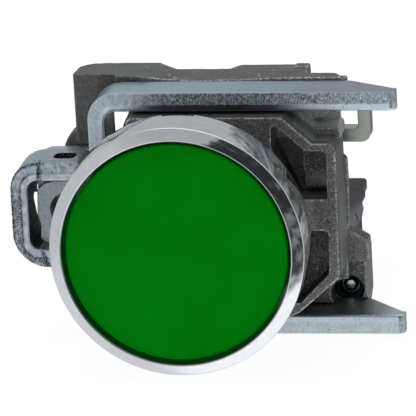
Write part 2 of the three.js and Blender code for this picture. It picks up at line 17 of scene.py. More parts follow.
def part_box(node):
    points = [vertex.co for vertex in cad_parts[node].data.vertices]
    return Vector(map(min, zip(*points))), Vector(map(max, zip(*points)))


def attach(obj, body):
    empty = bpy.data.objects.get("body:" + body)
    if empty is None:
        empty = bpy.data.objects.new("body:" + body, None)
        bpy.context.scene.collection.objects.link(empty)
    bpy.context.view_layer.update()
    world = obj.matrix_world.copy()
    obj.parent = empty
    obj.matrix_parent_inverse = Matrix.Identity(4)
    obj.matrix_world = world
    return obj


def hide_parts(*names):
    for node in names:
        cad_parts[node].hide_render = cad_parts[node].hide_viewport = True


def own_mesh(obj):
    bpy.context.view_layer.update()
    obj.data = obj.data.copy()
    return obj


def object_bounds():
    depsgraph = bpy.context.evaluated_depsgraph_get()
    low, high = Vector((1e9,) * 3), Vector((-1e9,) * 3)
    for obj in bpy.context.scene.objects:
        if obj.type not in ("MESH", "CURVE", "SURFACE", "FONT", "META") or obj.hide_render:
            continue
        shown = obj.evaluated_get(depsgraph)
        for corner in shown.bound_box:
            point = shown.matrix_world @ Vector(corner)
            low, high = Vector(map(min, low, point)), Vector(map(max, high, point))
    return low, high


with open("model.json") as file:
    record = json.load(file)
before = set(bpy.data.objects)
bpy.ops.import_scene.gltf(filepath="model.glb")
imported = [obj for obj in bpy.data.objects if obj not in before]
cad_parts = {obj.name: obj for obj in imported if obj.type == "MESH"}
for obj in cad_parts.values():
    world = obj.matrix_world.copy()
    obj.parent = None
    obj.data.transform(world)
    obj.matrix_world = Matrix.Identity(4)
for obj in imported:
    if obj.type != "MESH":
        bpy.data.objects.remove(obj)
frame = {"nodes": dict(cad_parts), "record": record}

MM = 0.001
PI = math.pi
PANEL_Y = round(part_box("panel_gasket")[1].y / MM, 3)   # panel front in the CAD frame
SHIFT = np.array([0.0, PANEL_Y, 0.0])
CAD_NODES = frame["nodes"]
CAD_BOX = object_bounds()
LOW, HIGH = [Vector(p) / MM for p in CAD_BOX]
BOX_GAP = 0.001       # displaced points stay this far inside the CAD box
WELD = 2e-6           # metres, joins doubled CAD points
FLAT_ANGLE = math.radians(0.6)


# =====================================================================
# numbers and point arrays
# =====================================================================
def lerp(a, b, t):
    return a + (b - a) * t


def ease(value, start, end):
    """smoothstep from 0 at start to 1 at end"""
    t = np.clip((value - start) / (end - start), 0, 1)
    return t * t * (3 - 2 * t)


def between(value, low, high):
    return (value > low) & (value < high)


def lump(points, scale, seed=0.0):
    """smooth noise in -1..1 at each point"""
    return np.array([noise.noise(Vector((p[0] * scale + seed, p[1] * scale, p[2] * scale)))
                     for p in points])


def read_vectors(ob, field):
    values = np.empty(len(ob.data.vertices) * 3, np.float32)
    ob.data.vertices.foreach_get(field, values)
    return values.reshape(-1, 3).astype(float)


def get_points(ob):
    return read_vectors(ob, "co") / MM - SHIFT


def get_normals(ob):
    return read_vectors(ob, "normal")


def set_points(ob, points):
    ob.data.vertices.foreach_set("co", ((points + SHIFT) * MM).astype(np.float32).ravel())
    ob.data.update()


def set_attribute(ob, name, values):
    layer = ob.data.attributes.get(name) or ob.data.attributes.new(name, "FLOAT", "POINT")
    layer.data.foreach_set("value", np.asarray(values, np.float32))


# =====================================================================
# outlines and solids
# =====================================================================
def fillet(to_before, to_after, radius):
    """distance from corner to tangent point, and the step from corner to arc centre"""
    half = math.acos(max(-1, min(1, to_before.dot(to_after)))) / 2
    centre = (to_before + to_after).normalized() * (radius / math.sin(half))
    return radius / math.tan(half), centre


def arc_angles(start, end):
    """angles of two vectors, the second within half a turn of the first"""
    a0, a1 = math.atan2(start.y, start.x), math.atan2(end.y, end.x)
    if a1 - a0 > PI:
        a1 -= 2 * PI
    if a0 - a1 > PI:
        a1 += 2 * PI
    return a0, a1


def rounded(corners, steps=8):
    """closed outline from [a, b] or [a, b, corner radius]; steps count a quarter turn"""
    out = []
    for i, corner in enumerate(corners):
        x, y, radius = (*corner, 0)[:3]
        if not radius:
            out.append((x, y))
            continue
        before, after = corners[i - 1], corners[(i + 1) % len(corners)]
        to_before = Vector((before[0] - x, before[1] - y)).normalized()
        to_after = Vector((after[0] - x, after[1] - y)).normalized()
        reach, centre = fillet(to_before, to_after, radius)
        a0, a1 = arc_angles(to_before * reach - centre, to_after * reach - centre)
        count = max(1, round(steps * abs(a1 - a0) / (PI / 2)))
        for j in range(count + 1):
            w = a0 + (a1 - a0) * j / count
            out.append((x + centre.x + radius * math.cos(w), y + centre.y + radius * math.sin(w)))
    return out


@contextmanager
def editing(mesh):
    bm = bmesh.new()
    bm.from_mesh(mesh)
    yield bm
    bm.to_mesh(mesh)
    bm.free()


def face_outwards(ob):
    with editing(ob.data) as bm:
        bmesh.ops.recalc_face_normals(bm, faces=bm.faces)
        if bm.calc_volume(signed=True) < 0:
            bmesh.ops.reverse_faces(bm, faces=bm.faces)


def link_mesh(name, verts, faces):
    """object from points in metres"""
    mesh = bpy.data.meshes.new(name)
    mesh.from_pydata(verts, [], faces)
    mesh.update()
    ob = bpy.data.objects.new(name, mesh)
    bpy.context.scene.collection.objects.link(ob)
    return ob


def solid(name, verts, faces):
    """object from points in millimetres behind the panel front"""
    ob = link_mesh(name, [(x * MM, (y + PANEL_Y) * MM, z * MM) for x, y, z in verts], faces)
    face_outwards(ob)
    return ob


def prism(points, axis, start, end, name="tmp"):
    """y: [x, z] outline, z: [x, y] outline, x: [y, z] outline"""
    def place(a, b, t):
        return {"y": (a, t, b), "z": (a, b, t), "x": (t, a, b)}[axis]
    n = len(points)
    verts = [place(a, b, t) for t in (start, end) for a, b in points]
    faces = [list(range(n)), [n + i for i in reversed(range(n))]]
    faces += [[i, i + n, (i + 1) % n + n, (i + 1) % n] for i in range(n)]
    return solid(name, verts, faces)


def block(x, y, z):
    corners = [(x[0], z[0]), (x[1], z[0]), (x[1], z[1]), (x[0], z[1])]
    return prism(corners, "y", *y)


def turned(points, segments=192, x=0, z=0, name="tmp"):
    """closed [radius, y] outline turned about a Y line through (x, z)"""
    verts, rings = [], []
    for radius, y in points:
        if radius < 1e-6:
            rings.append([len(verts)])
            verts.append((x, y, z))
            continue
        rings.append(list(range(len(verts), len(verts) + segments)))
        for i in range(segments):
            w = 2 * PI * i / segments
            verts.append((x + radius * math.cos(w), y, z + radius * math.sin(w)))
    faces = []
    for k, a in enumerate(rings):
        b = rings[(k + 1) % len(rings)]
        if len(a) == 1 and len(b) == 1:
            continue
        for i in range(segments):
            j = (i + 1) % segments
            if len(a) == 1:
                faces.append([a[0], b[i], b[j]])
            elif len(b) == 1:
                faces.append([a[i], b[0], a[j]])
            else:
                faces.append([a[i], b[i], b[j], a[j]])
    return solid(name, verts, faces)


def cylinder(radius, y, x, z, segments):
    return turned([(0, y[0]), (radius, y[0]), (radius, y[1]), (0, y[1])], segments, x, z)


def from_cad(node_name, name):
    """copy of a CAD mesh, welded and with its flat areas merged"""
    source = CAD_NODES[node_name].data
    ob = link_mesh(name, [v.co[:] for v in source.vertices],
                   [p.vertices[:] for p in source.polygons])
    with editing(ob.data) as bm:
        bmesh.ops.remove_doubles(bm, verts=bm.verts, dist=WELD)
        bmesh.ops.dissolve_limit(bm, angle_limit=FLAT_ANGLE, verts=bm.verts, edges=bm.edges)
    face_outwards(ob)
    return ob


# =====================================================================
# changes to a solid
# =====================================================================
def bake(ob):
    """applies the object's modifiers"""
    graph = bpy.context.evaluated_depsgraph_get()
    graph.update()
    mesh = bpy.data.meshes.new_from_object(ob.evaluated_get(graph),
                                           preserve_all_data_layers=True, depsgraph=graph)
    ob.modifiers.clear()
    old = ob.data
    ob.data = mesh
    bpy.data.meshes.remove(old)


def boolean(ob, operation, others):
    for other in others:
        mod = ob.modifiers.new("b", "BOOLEAN")
        mod.operation = operation
        mod.solver = "EXACT"
        mod.object = other
        bake(ob)
        mesh = other.data
        bpy.data.objects.remove(other)
        bpy.data.meshes.remove(mesh)


def cut(ob, *others):
    boolean(ob, "DIFFERENCE", others)


def add(ob, *others):
    boolean(ob, "UNION", others)


def shade_smooth(ob):
    ob.data.polygons.foreach_set("use_smooth", [True] * len(ob.data.polygons))
    ob.data.update()


def shade_by_angle(ob, angle):
    """smooth shading that breaks at edges steeper than the angle"""
    with editing(ob.data) as bm:
        for e in bm.edges:
            steep = len(e.link_faces) == 2 and e.calc_face_angle(0) > math.radians(angle)
            e.smooth = not steep
        for f in bm.faces:
            f.smooth = True


def bevel(ob, width, segments, live=False):
    """rounds edges above 30 degrees; live leaves the modifiers on the object"""
    mod = ob.modifiers.new("bevel", "BEVEL")
    mod.width = width * MM
    mod.segments = segments
    mod.limit_method = "ANGLE"
    mod.angle_limit = math.radians(30)
    mod.use_clamp_overlap = True
    mod.miter_outer = "MITER_ARC"
    if not live:
        bake(ob)
    shade_smooth(ob)
    weighted = ob.modifiers.new("normals", "WEIGHTED_NORMAL")
    weighted.keep_sharp = True
    weighted.weight = 80
    if not live:
        bake(ob)


def convexity(ob, rounds=2):
    """how far each point stands out from its neighbours, in millimetres"""
    points = get_points(ob)
    ends = np.empty(len(ob.data.edges) * 2, np.int32)
    ob.data.edges.foreach_get("vertices", ends)
    a, b = ends[0::2], ends[1::2]
    n = len(points)
    count = np.bincount(a, minlength=n) + np.bincount(b, minlength=n)

    def neighbour_mean(v):
        return (np.bincount(a, v[b], n) + np.bincount(b, v[a], n)) / count
    mean = np.stack([neighbour_mean(points[:, i]) for i in range(3)], 1)
    out = ((points - mean) * get_normals(ob)).sum(1)
    for _ in range(rounds):
        out = 0.5 * out + 0.5 * neighbour_mean(out)
    return out


# =====================================================================
# node trees
# =====================================================================
class Nodes:
    """builds the node tree of a material or world"""
    def __init__(self, owner, output, space=None):
        owner.use_nodes = True
        self.owner = owner
        self.tree = owner.node_tree
        self.tree.nodes.clear()
        self.end = self.tree.nodes.new("ShaderNodeOutput" + output)
        self.place = self.node("TexCoord", out=space) if space else None

    def node(self, kind, inputs=None, out=0, **props):
        node = self.tree.nodes.new("ShaderNode" + kind)
        for key, value in props.items():
            setattr(node, key, value)
        for key, value in (inputs or {}).items():
            socket = node.inputs[key]
            if isinstance(value, bpy.types.NodeSocket):
                self.tree.links.new(value, socket)
                continue
            if socket.type == "RGBA" and len(value) == 3:
                value = (*value, 1.0)
            socket.default_value = value
        return node.outputs[out]

    def noise(self, scale, detail=3.0, rough=0.55, vec=None, distort=0.0):
        return self.node("TexNoise", {"Vector": vec or self.place, "Scale": scale,
                                      "Detail": detail, "Roughness": rough,
                                      "Distortion": distort})

    def stretch(self, x, y, z, vec=None):
        return self.node("Mapping", {"Vector": vec or self.place, "Scale": (x, y, z)})

    def voronoi(self, scale, vec=None, out="Distance"):
        return self.node("TexVoronoi", {"Vector": vec or self.place, "Scale": scale}, out=out)

    def cells(self, scale, vec=None):
        """one random value per cell"""
        return self.node("SeparateColor", {"Color": self.voronoi(scale, vec, "Color")})

    def ramp(self, value, start, end, to=(0.0, 1.0), kind="SMOOTHSTEP"):
        return self.node("MapRange", {"Value": value, "From Min": start, "From Max": end,
                                      "To Min": to[0], "To Max": to[1]},
                         interpolation_type=kind)

    def math(self, operation, a, b=0.0):
        return self.node("Math", {0: a, 1: b}, operation=operation)

    def add(self, a, b):
        return self.math("ADD", a, b)

    def mul(self, a, b):
        return self.math("MULTIPLY", a, b)

    def mix(self, mask, a, b):
        return self.node("Mix", {0: mask, 6: a, 7: b}, out=2, data_type="RGBA")

    def layers(self, colour, *layers):
        """lays [mask, colour] pairs over a colour, first one lowest"""
        for mask, over in layers:
            colour = self.mix(mask, colour, over)
        return colour

    def attr(self, name):
        return self.node("Attribute", out="Fac", attribute_name=name)

    def part(self, axis, vec=None):
        return self.node("SeparateXYZ", {"Vector": vec or self.place}, out=axis)

    def face_normal(self):
        return self.node("NewGeometry", out="True Normal")

    def bump(self, height, strength, depth, normal=None):
        inputs = {"Height": height, "Strength": strength, "Distance": depth * MM}
        if normal:
            inputs["Normal"] = normal
        return self.node("Bump", inputs)

    def connect(self, shader):
        self.tree.links.new(shader, self.end.inputs[0])

    def surface(self, colour, rough, normal, metal=0.0, **extra):
        """ends the material with a Principled shader; extra names use _ for spaces"""
        inputs = {"Base Color": colour, "Roughness": rough, "Metallic": metal, "Normal": normal}
        inputs.update({key.replace("_", " "): value for key, value in extra.items()})
        self.connect(self.node("BsdfPrincipled", inputs))
        return self.owner


def new_material(name):
    return Nodes(bpy.data.materials.new(name), "Material", "Object")


# =====================================================================
# materials: noise scales are per metre, bump depths in millimetres
# =====================================================================
def chrome():
    m = new_material("mat_chrome")
    fine = m.noise(900, detail=4)
    scratch = m.noise(2600, detail=2, vec=m.stretch(0.15, 1, 1))
    dirt = m.mul(m.ramp(m.voronoi(520), 0.0, 0.09, to=(1.0, 0.0)),
                 m.ramp(m.noise(160, detail=2), 0.56, 0.66))
    colour = m.mix(m.ramp(fine, 0.35, 0.7), (0.84, 0.85, 0.875), (0.90, 0.905, 0.92))
    colour = m.layers(colour, (dirt, (0.18, 0.18, 0.19)),
                      (m.attr("inner"), (0.003, 0.018, 0.005)))   # painted reflection of the green cap on the bore
    blend = m.add(m.mul(fine, 0.6), m.mul(scratch, 0.4))
    normal = m.bump(m.noise(330, detail=2), strength=0.25, depth=0.01,
                    normal=m.bump(scratch, strength=0.06, depth=0.004))
    # the bore is drawn non-metallic with a faint green emission: a painted glow for light from
    # the cap
    return m.surface(colour, m.ramp(blend, 0.35, 0.7, to=(0.05, 0.13)), normal,
                     metal=m.math("SUBTRACT", 1.0, m.attr("inner")),
                     Emission_Color=(0.0, 0.024, 0.003),
                     Emission_Strength=m.mul(m.attr("inner"), 0.9))


def cap_green():
    m = new_material("mat_green_cap")
    grain = m.noise(9000, detail=3)
    cloud = m.noise(120, detail=2)
    colour = m.mix(m.ramp(cloud, 0.3, 0.7), (0.0001, 0.283, 0.0044), (0.0001, 0.318, 0.0054))
    colour = m.mix(m.ramp(grain, 0.3, 0.7, to=(0.0, 0.25)), colour, (0.0002, 0.36, 0.006))
    return m.surface(colour, m.ramp(cloud, 0.3, 0.7, to=(0.5, 0.58)),
                     m.bump(grain, strength=0.12, depth=0.006), Specular_IOR_Level=0.015)


def diecast():
    """sandy grey casting; the collar's attributes place its tones, painted shade and painted
    light
    """
    m = new_material("mat_diecast")
    grain = m.noise(8600, detail=4, rough=0.7)
    pits = m.voronoi(3400)
    cloud = m.noise(260)
    flow = m.noise(420, vec=m.stretch(1.0, 0.35, 1.0))
    sandy = m.attr("sandy")
    # crest: painted highlight along convex edges
    crest = m.mul(m.attr("crest"), m.ramp(m.noise(3800), 0.40, 0.60))
    # hollow: painted shade in concave spots
    hollow = m.ramp(m.node("NewGeometry", out="Pointiness"), 0.40, 0.49, to=(1.0, 0.0))
    cell = m.cells(9500.0)
    cell_amount = m.ramp(sandy, 0, 1, to=(0.16, 0.62))
    dark = m.mul(m.ramp(grain, 0.36, 0.46, to=(1.0, 0.0)), m.ramp(sandy, 0, 1, to=(0.35, 0.75)))
    spots = m.mul(m.ramp(m.voronoi(900), 0.0, 0.10, to=(1.0, 0.0)),
                  m.ramp(m.noise(300, detail=2), 0.52, 0.60))
    rub = m.mul(m.ramp(m.noise(1400, vec=m.stretch(1.0, 0.4, 1.0)), 0.62, 0.70),
                m.ramp(m.noise(150, detail=2), 0.50, 0.60))
    colour = m.layers(
        m.mix(m.ramp(cloud, 0.3, 0.7), (0.108, 0.106, 0.104), (0.158, 0.157, 0.159)),
        (m.ramp(flow, 0.45, 0.75, to=(0.0, 0.5)), (0.155, 0.155, 0.160)),
        (m.mul(sandy, 0.8), (0.245, 0.244, 0.240)),
        # painted shade: darker pockets and recesses
        (m.attr("pocket"), (0.066, 0.063, 0.056)),
        # painted light on recesses, lug faces, walls, web and tops
        (m.attr("painted_light"), (0.70, 0.70, 0.69)),
        (m.mul(m.ramp(cell, 0.42, 0.05), cell_amount), (0.028, 0.028, 0.027)),
        (m.mul(m.ramp(cell, 0.66, 1.0), cell_amount), (0.52, 0.52, 0.51)),
        (m.mul(m.ramp(grain, 0.60, 0.72), sandy), (0.50, 0.50, 0.49)),
        (dark, (0.030, 0.030, 0.030)),
        (m.mul(crest, 0.9), (0.72, 0.72, 0.70)),
        (m.mul(hollow, 0.6), (0.022, 0.021, 0.020)),
        (m.mul(spots, 0.8), (0.62, 0.62, 0.60)),
        (m.mul(rub, 0.5), (0.50, 0.50, 0.49)))
    height = m.add(m.mul(grain, 0.6), m.mul(pits, 0.5))
    normal = m.bump(height, strength=m.ramp(sandy, 0, 1, to=(0.22, 0.75)), depth=0.05)
    return m.surface(colour, m.ramp(grain, 0.3, 0.7, to=(0.36, 0.62)), normal, metal=0.55)


def zinc_tints(m, colour):
    """greenish clouds, and on upward faces a tint that turns from teal to violet along X"""
    cloud = m.noise(150, rough=0.6)
    colour = m.mix(m.ramp(cloud, 0.38, 0.52, to=(0.45, 0.0)), colour, (0.46, 0.63, 0.60))
    x = m.add(m.part("X"), m.ramp(cloud, 0.3, 0.7, to=(-0.004, 0.004), kind="LINEAR"))
    tint = m.mix(m.ramp(x, -0.008, 0.010), (0.48, 0.655, 0.705), (0.41, 0.545, 0.62))
    tint = m.mix(m.ramp(x, 0.009, 0.017), tint, (0.385, 0.375, 0.47))
    return m.mix(m.mul(m.attr("smoothtop"), 0.92), colour, tint)


def sheared_face(m, colour, rough, normal):
    """front face of a sheared strip: smooth burnish on the inner side, torn beyond it"""
    front, across, along = m.attr("front"), m.attr("tv"), m.attr("su")
    face = m.node("CombineXYZ", {"X": along, "Y": across, "Z": 0.0})

    def streaks(x, y, **noise_settings):
        return m.noise(1.0, vec=m.stretch(x, y, 1.0, vec=face), **noise_settings)
    jag = m.noise(2.2, vec=face)
    line = m.add(across, m.ramp(jag, 0.2, 0.8, to=(-0.07, 0.07), kind="LINEAR"))
    fracture = m.mul(m.ramp(line, 0.34, 0.42), front)
    burnish = m.mul(m.ramp(line, 0.40, 0.34), front)
    lines = streaks(8.5, 5.0, detail=5, rough=0.65)
    tears = streaks(9.5, 15.0, detail=4, rough=0.7, distort=0.6)
    relief = m.add(m.mul(lines, 0.55), m.mul(tears, 0.45))
    torn = m.attr("torn")
    cell = m.cells(6200.0, m.stretch(1.45, 1.0, 0.70))
    broken = m.layers(
        m.mix(m.ramp(relief, 0.40, 0.58), (0.045, 0.057, 0.068), (0.74, 0.83, 0.90)),
        (m.ramp(cell, 0.34, 0.16, to=(0.0, 0.58)), (0.030, 0.038, 0.046)),
        (m.ramp(cell, 0.74, 0.92, to=(0.0, 0.65)), (0.80, 0.88, 0.95)))
    broken = m.mix(torn, (0.78, 0.86, 0.91), broken)
    broken = m.mix(m.mul(m.ramp(tears, 0.60, 0.68), 0.7), broken, (0.045, 0.055, 0.065))
    # painted reflection: the burnished band darkened where it mirrors dark surroundings
    smooth = m.mix(m.attr("painted_burnish_dark"), (0.72, 0.80, 0.86), (0.14, 0.15, 0.17))
    smooth = m.mix(m.ramp(lines, 0.5, 0.75, to=(0.0, 0.30)), smooth, (0.30, 0.33, 0.36))
    flecks = m.mul(m.ramp(streaks(4.5, 3.0, detail=4, rough=0.7), 0.585, 0.64), front)
    patchy = m.ramp(streaks(5.0, 6.0, detail=4, rough=0.7), 0.35, 0.55, to=(0.35, 1.0))
    # painted highlights along the edges of the sheared face
    rim = m.mul(m.attr("edge_highlight"), m.ramp(m.noise(3200), 0.38, 0.56))
    colour = m.layers(
        colour, (fracture, broken), (burnish, smooth),
        (m.mul(flecks, 0.45), (0.16, 0.18, 0.20)),
        # dark patches: grime, and painted shade on walls and creases and under the collar
        (m.mul(m.attr("grime_and_shade"), patchy), (0.030, 0.036, 0.040)),
        (m.mul(rim, 0.85), (0.72, 0.76, 0.78)))
    rough = m.add(rough, m.mul(fracture, 0.18))
    normal = m.bump(relief, strength=m.mul(fracture, m.mul(torn, 0.8)), depth=0.09,
                    normal=normal)
    return colour, rough, normal


def zinc(name="mat_zinc_plate", sheared=False, warm=False, tone=1.0):
    """zinc plate: warm is yellower, a tone below 1 is darker with dark grain"""
    m = new_material(name)
    blotch = m.noise(420, detail=4, rough=0.6)
    fine = m.noise(4200, detail=4, rough=0.6)
    tones = ((0.52, 0.60, 0.625), (0.66, 0.72, 0.745))
    if warm:
        tones = ((0.42, 0.44, 0.40), (0.60, 0.61, 0.56))
    colour = m.mix(m.ramp(blotch, 0.3, 0.7), *[tuple(c * tone for c in t) for t in tones])
    if tone < 1:
        colour = m.mix(m.ramp(fine, 0.40, 0.62, to=(0.0, 0.5)), colour, (0.20, 0.225, 0.25))
    elif not warm:
        colour = zinc_tints(m, colour)
    colour = m.mix(m.mul(m.ramp(fine, 0.62, 0.72), 0.35), colour, (0.13, 0.15, 0.16))
    rough = m.ramp(blotch, 0.3, 0.7, to=(0.26, 0.40))
    normal = m.bump(fine, strength=0.16, depth=0.02)
    if sheared:
        colour, rough, normal = sheared_face(m, colour, rough, normal)
    return m.surface(colour, rough, normal, metal=0.85)


def paint_wall_sheen_and_shade(m, colour, cloud):
    """painted sheen on the end walls in a band across Z, and painted shade on upward faces"""
    x = m.math("ABSOLUTE", m.part("X"))
    z = m.part("Z")
    sideways = m.math("ABSOLUTE", m.part("X", m.face_normal()))
    upward = m.part("Z", m.face_normal())
    band = m.mul(m.ramp(z, -0.0104, -0.0082), m.ramp(z, -0.0044, -0.0070))
    band = m.mul(band, m.mul(m.ramp(x, 0.0136, 0.0138), m.ramp(sideways, 0.3, 0.6)))
    return m.layers(
        colour,
        (m.mul(band, m.ramp(cloud, 0.25, 0.7, to=(0.65, 0.95))), (0.30, 0.305, 0.325)),
        (m.mul(m.ramp(upward, 0.7, 0.95), 0.6), (0.010, 0.011, 0.013)))


def plastic(name, dark, light, grain=5200, specular=0.4, wall_sheen_and_shade=False):
    m = new_material(name)
    cloud = m.noise(220)
    fine = m.noise(grain)
    worn_tone = tuple(min(1, c * 2.2 + 0.03) for c in light)
    colour = m.layers(m.mix(m.ramp(cloud, 0.3, 0.7), dark, light),
                      (m.mul(m.attr("worn"), 0.35), worn_tone))
    if wall_sheen_and_shade:
        colour = paint_wall_sheen_and_shade(m, colour, cloud)
    return m.surface(colour, m.ramp(fine, 0.3, 0.7, to=(0.38, 0.52)),
                     m.bump(fine, strength=0.2, depth=0.012), Specular_IOR_Level=specular)


def rubber():
    m = new_material("mat_rubber")
    fine = m.noise(3000, detail=4)
    colour = m.mix(m.ramp(fine, 0.3, 0.7), (0.010, 0.010, 0.011), (0.022, 0.022, 0.023))
    # painted green light from the cap on the ring round it
    near = m.ramp(m.part("Y"), 0.0050, 0.0040, to=(0.0, 0.9))
    colour = m.mix(near, colour, (0.003, 0.125, 0.014))
    return m.surface(colour, m.ramp(m.noise(500), 0.3, 0.7, to=(0.62, 0.8)),
                     m.bump(fine, strength=0.25, depth=0.015))


def bare_metal(name, dark, light, rough, stretch=(1, 1, 1)):
    m = new_material(name)
    fine = m.noise(2500, detail=4, vec=m.stretch(*stretch))
    cloud = m.noise(350)
    colour = m.mix(m.ramp(cloud, 0.3, 0.7), dark, light)
    colour = m.mix(m.mul(m.ramp(fine, 0.6, 0.7), 0.4), colour, tuple(c * 0.35 for c in dark))
    return m.surface(colour, m.ramp(fine, 0.3, 0.7, to=rough),
                     m.bump(fine, strength=0.15, depth=0.01), metal=1.0)


def shaded_screw():
    """plated screw, bright on the nose, its collar darkened with painted shade for the hole it
    sits in
    """
    m = new_material("mat_clamp_screw")
    fine = m.noise(2600, detail=4)
    cloud = m.noise(700)
    painted_hole_shade = m.mul(m.attr("painted_hole_shade"), m.ramp(fine, 0.3, 0.7, to=(0.90, 1.0)))
    colour = m.layers(
        m.mix(m.ramp(cloud, 0.3, 0.7), (0.52, 0.58, 0.62), (0.72, 0.76, 0.79)),
        (m.ramp(cloud, 0.5, 0.62, to=(0.0, 0.6)), (0.20, 0.23, 0.26)),
        (painted_hole_shade, (0.020, 0.021, 0.022)))
    rough = m.add(m.ramp(fine, 0.3, 0.7, to=(0.14, 0.30)), m.mul(painted_hole_shade, 0.35))
    return m.surface(colour, rough, m.bump(fine, strength=0.15, depth=0.01), metal=1.0)


MATERIALS = {
    "chromed_head": chrome(),
    "green_cap": cap_green(),
    "dark_plastic": plastic("mat_dark_plastic", (0.022, 0.023, 0.025), (0.034, 0.035, 0.038)),
    "seal_rubber": rubber(),
    "spring_steel": bare_metal("mat_spring", (0.50, 0.51, 0.53), (0.62, 0.62, 0.64),
                               rough=(0.18, 0.32)),
    "diecast_zinc": diecast(),
    "zinc_plated_steel": zinc(),
    "strip": zinc("mat_zinc_strip", sheared=True),
    "clip": zinc("mat_zinc_clip", warm=True),
    "finger": zinc("mat_zinc_finger", tone=0.56),
    "clamp_screw": shaded_screw(),
    "plated_screw": bare_metal("mat_screw", (0.50, 0.54, 0.57), (0.66, 0.70, 0.72),
                               rough=(0.15, 0.32)),
    # block plastic with painted sheen on its end walls and painted shade on its tops
    "block_plastic": plastic("mat_block", (0.022, 0.024, 0.028), (0.034, 0.037, 0.042),
                             grain=4200, specular=0.30, wall_sheen_and_shade=True),
    "plunger_plastic": plastic("mat_plunger", (0.62, 0.60, 0.53), (0.72, 0.70, 0.64)),
    "contact_bronze": bare_metal("mat_bronze", (0.52, 0.30, 0.15), (0.66, 0.42, 0.23),
                                 rough=(0.2, 0.38), stretch=(1, 1, 0.2)),
    "contact_silver": bare_metal("mat_silver", (0.66, 0.66, 0.64), (0.80, 0.79, 0.76),
                                 rough=(0.2, 0.4)),
}


def finish_piece(ob, body, slot, *nodes, material=None):
    """gives a piece its material (the slot's unless another is named) and moving body, and hides
    the CAD nodes it replaces
    """
    ob.data.materials.clear()
    ob.data.materials.append(MATERIALS[material or slot])
    if "worn" not in ob.data.attributes:
        set_attribute(ob, "worn", np.zeros(len(ob.data.vertices)))
    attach(ob, body)
    if nodes:
        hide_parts(*nodes)


# =====================================================================
# head: turned outlines are [radius, y, corner radius]
# =====================================================================
BEZEL_R = 14.5
LIP_R, LIP_Y = 13.1, -7.9
FLANGE_Y = -1.4       # rear of the bezel's flange
BORE_R = 13.03
BARREL_R, BARREL_BORE_R, GUIDE_R = 11.0, 9.3, 6.3
BARREL_END = 17.5
CAP_FRONT, CAP_REAR = -7.3, -6.4


def make_bezel():
    bezel = turned(rounded([
        (LIP_R + 0.10, LIP_Y, 0.05), (BEZEL_R, -7.15, 0.22), (BEZEL_R, FLANGE_Y, 0.16),
        (BARREL_R, FLANGE_Y), (BARREL_R, BARREL_END, 0.4), (BARREL_BORE_R, BARREL_END, 0.15),
        (BARREL_BORE_R, 12.4), (GUIDE_R, 12.4, 0.12), (GUIDE_R, 6.0, 0.12),
        (BARREL_BORE_R, 6.0), (BARREL_BORE_R, -2.0, 0.2), (BORE_R, -2.0), (BORE_R, -7.76, 0.03),
    ], 6), 288, name="head_bezel")
    # flats on both sides of the barrel
    cut(bezel, *[block(x, (0.8, 19), (-12, 12)) for x in ((-12, -10.0), (10.0, 12))])
    # key on top of the barrel, notch in the flange above it
    key = rounded([(-1.4, 10.4), (1.4, 10.4), (1.4, 12.0, 0.25), (-1.4, 12.0, 0.25)])
    add(bezel, prism(key, "y", FLANGE_Y - 0.3, 5.2))
    notch = rounded([(-1.85, 13.95, 0.1), (1.85, 13.95, 0.1), (1.85, 15.5), (-1.85, 15.5)])
    cut(bezel, prism(notch, "y", FLANGE_Y - 0.7, 0))
    # two slots in the left of the barrel
    cut(bezel, *[block((-13, -8.9), (12.55, 14.65), z) for z in ((4.4, 6.8), (-6.8, -4.4))])
    shade_by_angle(bezel, 28)
    x, y, z = get_points(bezel).T
    # inner bore wall: takes the chrome material's painted green reflection and glow
    inner = between(np.hypot(x, z), 12.0, 13.06) & between(y, -7.84, -1.9)
    set_attribute(bezel, "inner", inner.astype(float))
    finish_piece(bezel, "root", "chromed_head", "bezel")


def make_cap():
    cap = turned(rounded([
        (0, CAP_FRONT), (12.68, CAP_FRONT, 0.28), (12.68, CAP_REAR, 0.1), (8.2, CAP_REAR),
        (8.2, -3.5, 0.1), (7.25, -3.5, 0.1), (7.25, CAP_REAR), (0, CAP_REAR),
    ], 6), 256, name="cap_disc")
    shade_by_angle(cap, 40)
    finish_piece(cap, "button", "green_cap", "button_cap")


def make_gasket():
    front = FLANGE_Y + 0.05
    gasket = turned(rounded([(11.1, front), (13.85, front, 0.15), (13.85, 0, 0.3), (11.1, 0)], 5),
                    name="gasket_ring")
    cut(gasket, block((-1.6, 1.6), (-2, 1), (10, 12.25)))
    shade_by_angle(gasket, 40)
    finish_piece(gasket, "root", "seal_rubber", "panel_gasket")


# =====================================================================
# fixing collar: die casting
# =====================================================================
# cut along the collar's top: [x, z of the cut's lower front edge]
TOP_CUT = ((-10.0, 15.05), (-7.0, 14.95), (-4.0, 14.55), (-1.0, 14.35),
           (3.0, 14.42), (8.0, 14.62), (13.0, 14.7), (18.0, 14.75))
TOP_CUT_FRONT, TOP_CUT_REAR = 12.7, 15.6


def top_cutter():
    verts, faces = [], []
    for x, z in TOP_CUT:
        verts += [(x, TOP_CUT_FRONT, z - 0.06), (x, TOP_CUT_REAR, 15.18),
                  (x, TOP_CUT_REAR, 16.0), (x, TOP_CUT_FRONT, 16.0)]
    for k in range(len(TOP_CUT) - 1):
        for a in range(4):
            b = (a + 1) % 4
            faces.append([4 * k + a, 4 * k + b, 4 * k + 4 + b, 4 * k + 4 + a])
    faces += [[0, 1, 2, 3], [31, 30, 29, 28]]
    return solid("tmp", verts, faces)


def soften_casting(collar):
    remesh = collar.modifiers.new("v", "REMESH")
    remesh.mode = "VOXEL"
    remesh.voxel_size = 0.115 * MM
    remesh.use_smooth_shade = True
    relax = collar.modifiers.new("s", "SMOOTH")
    relax.factor = 0.5
    relax.iterations = 4
    bake(collar)
    shade_smooth(collar)


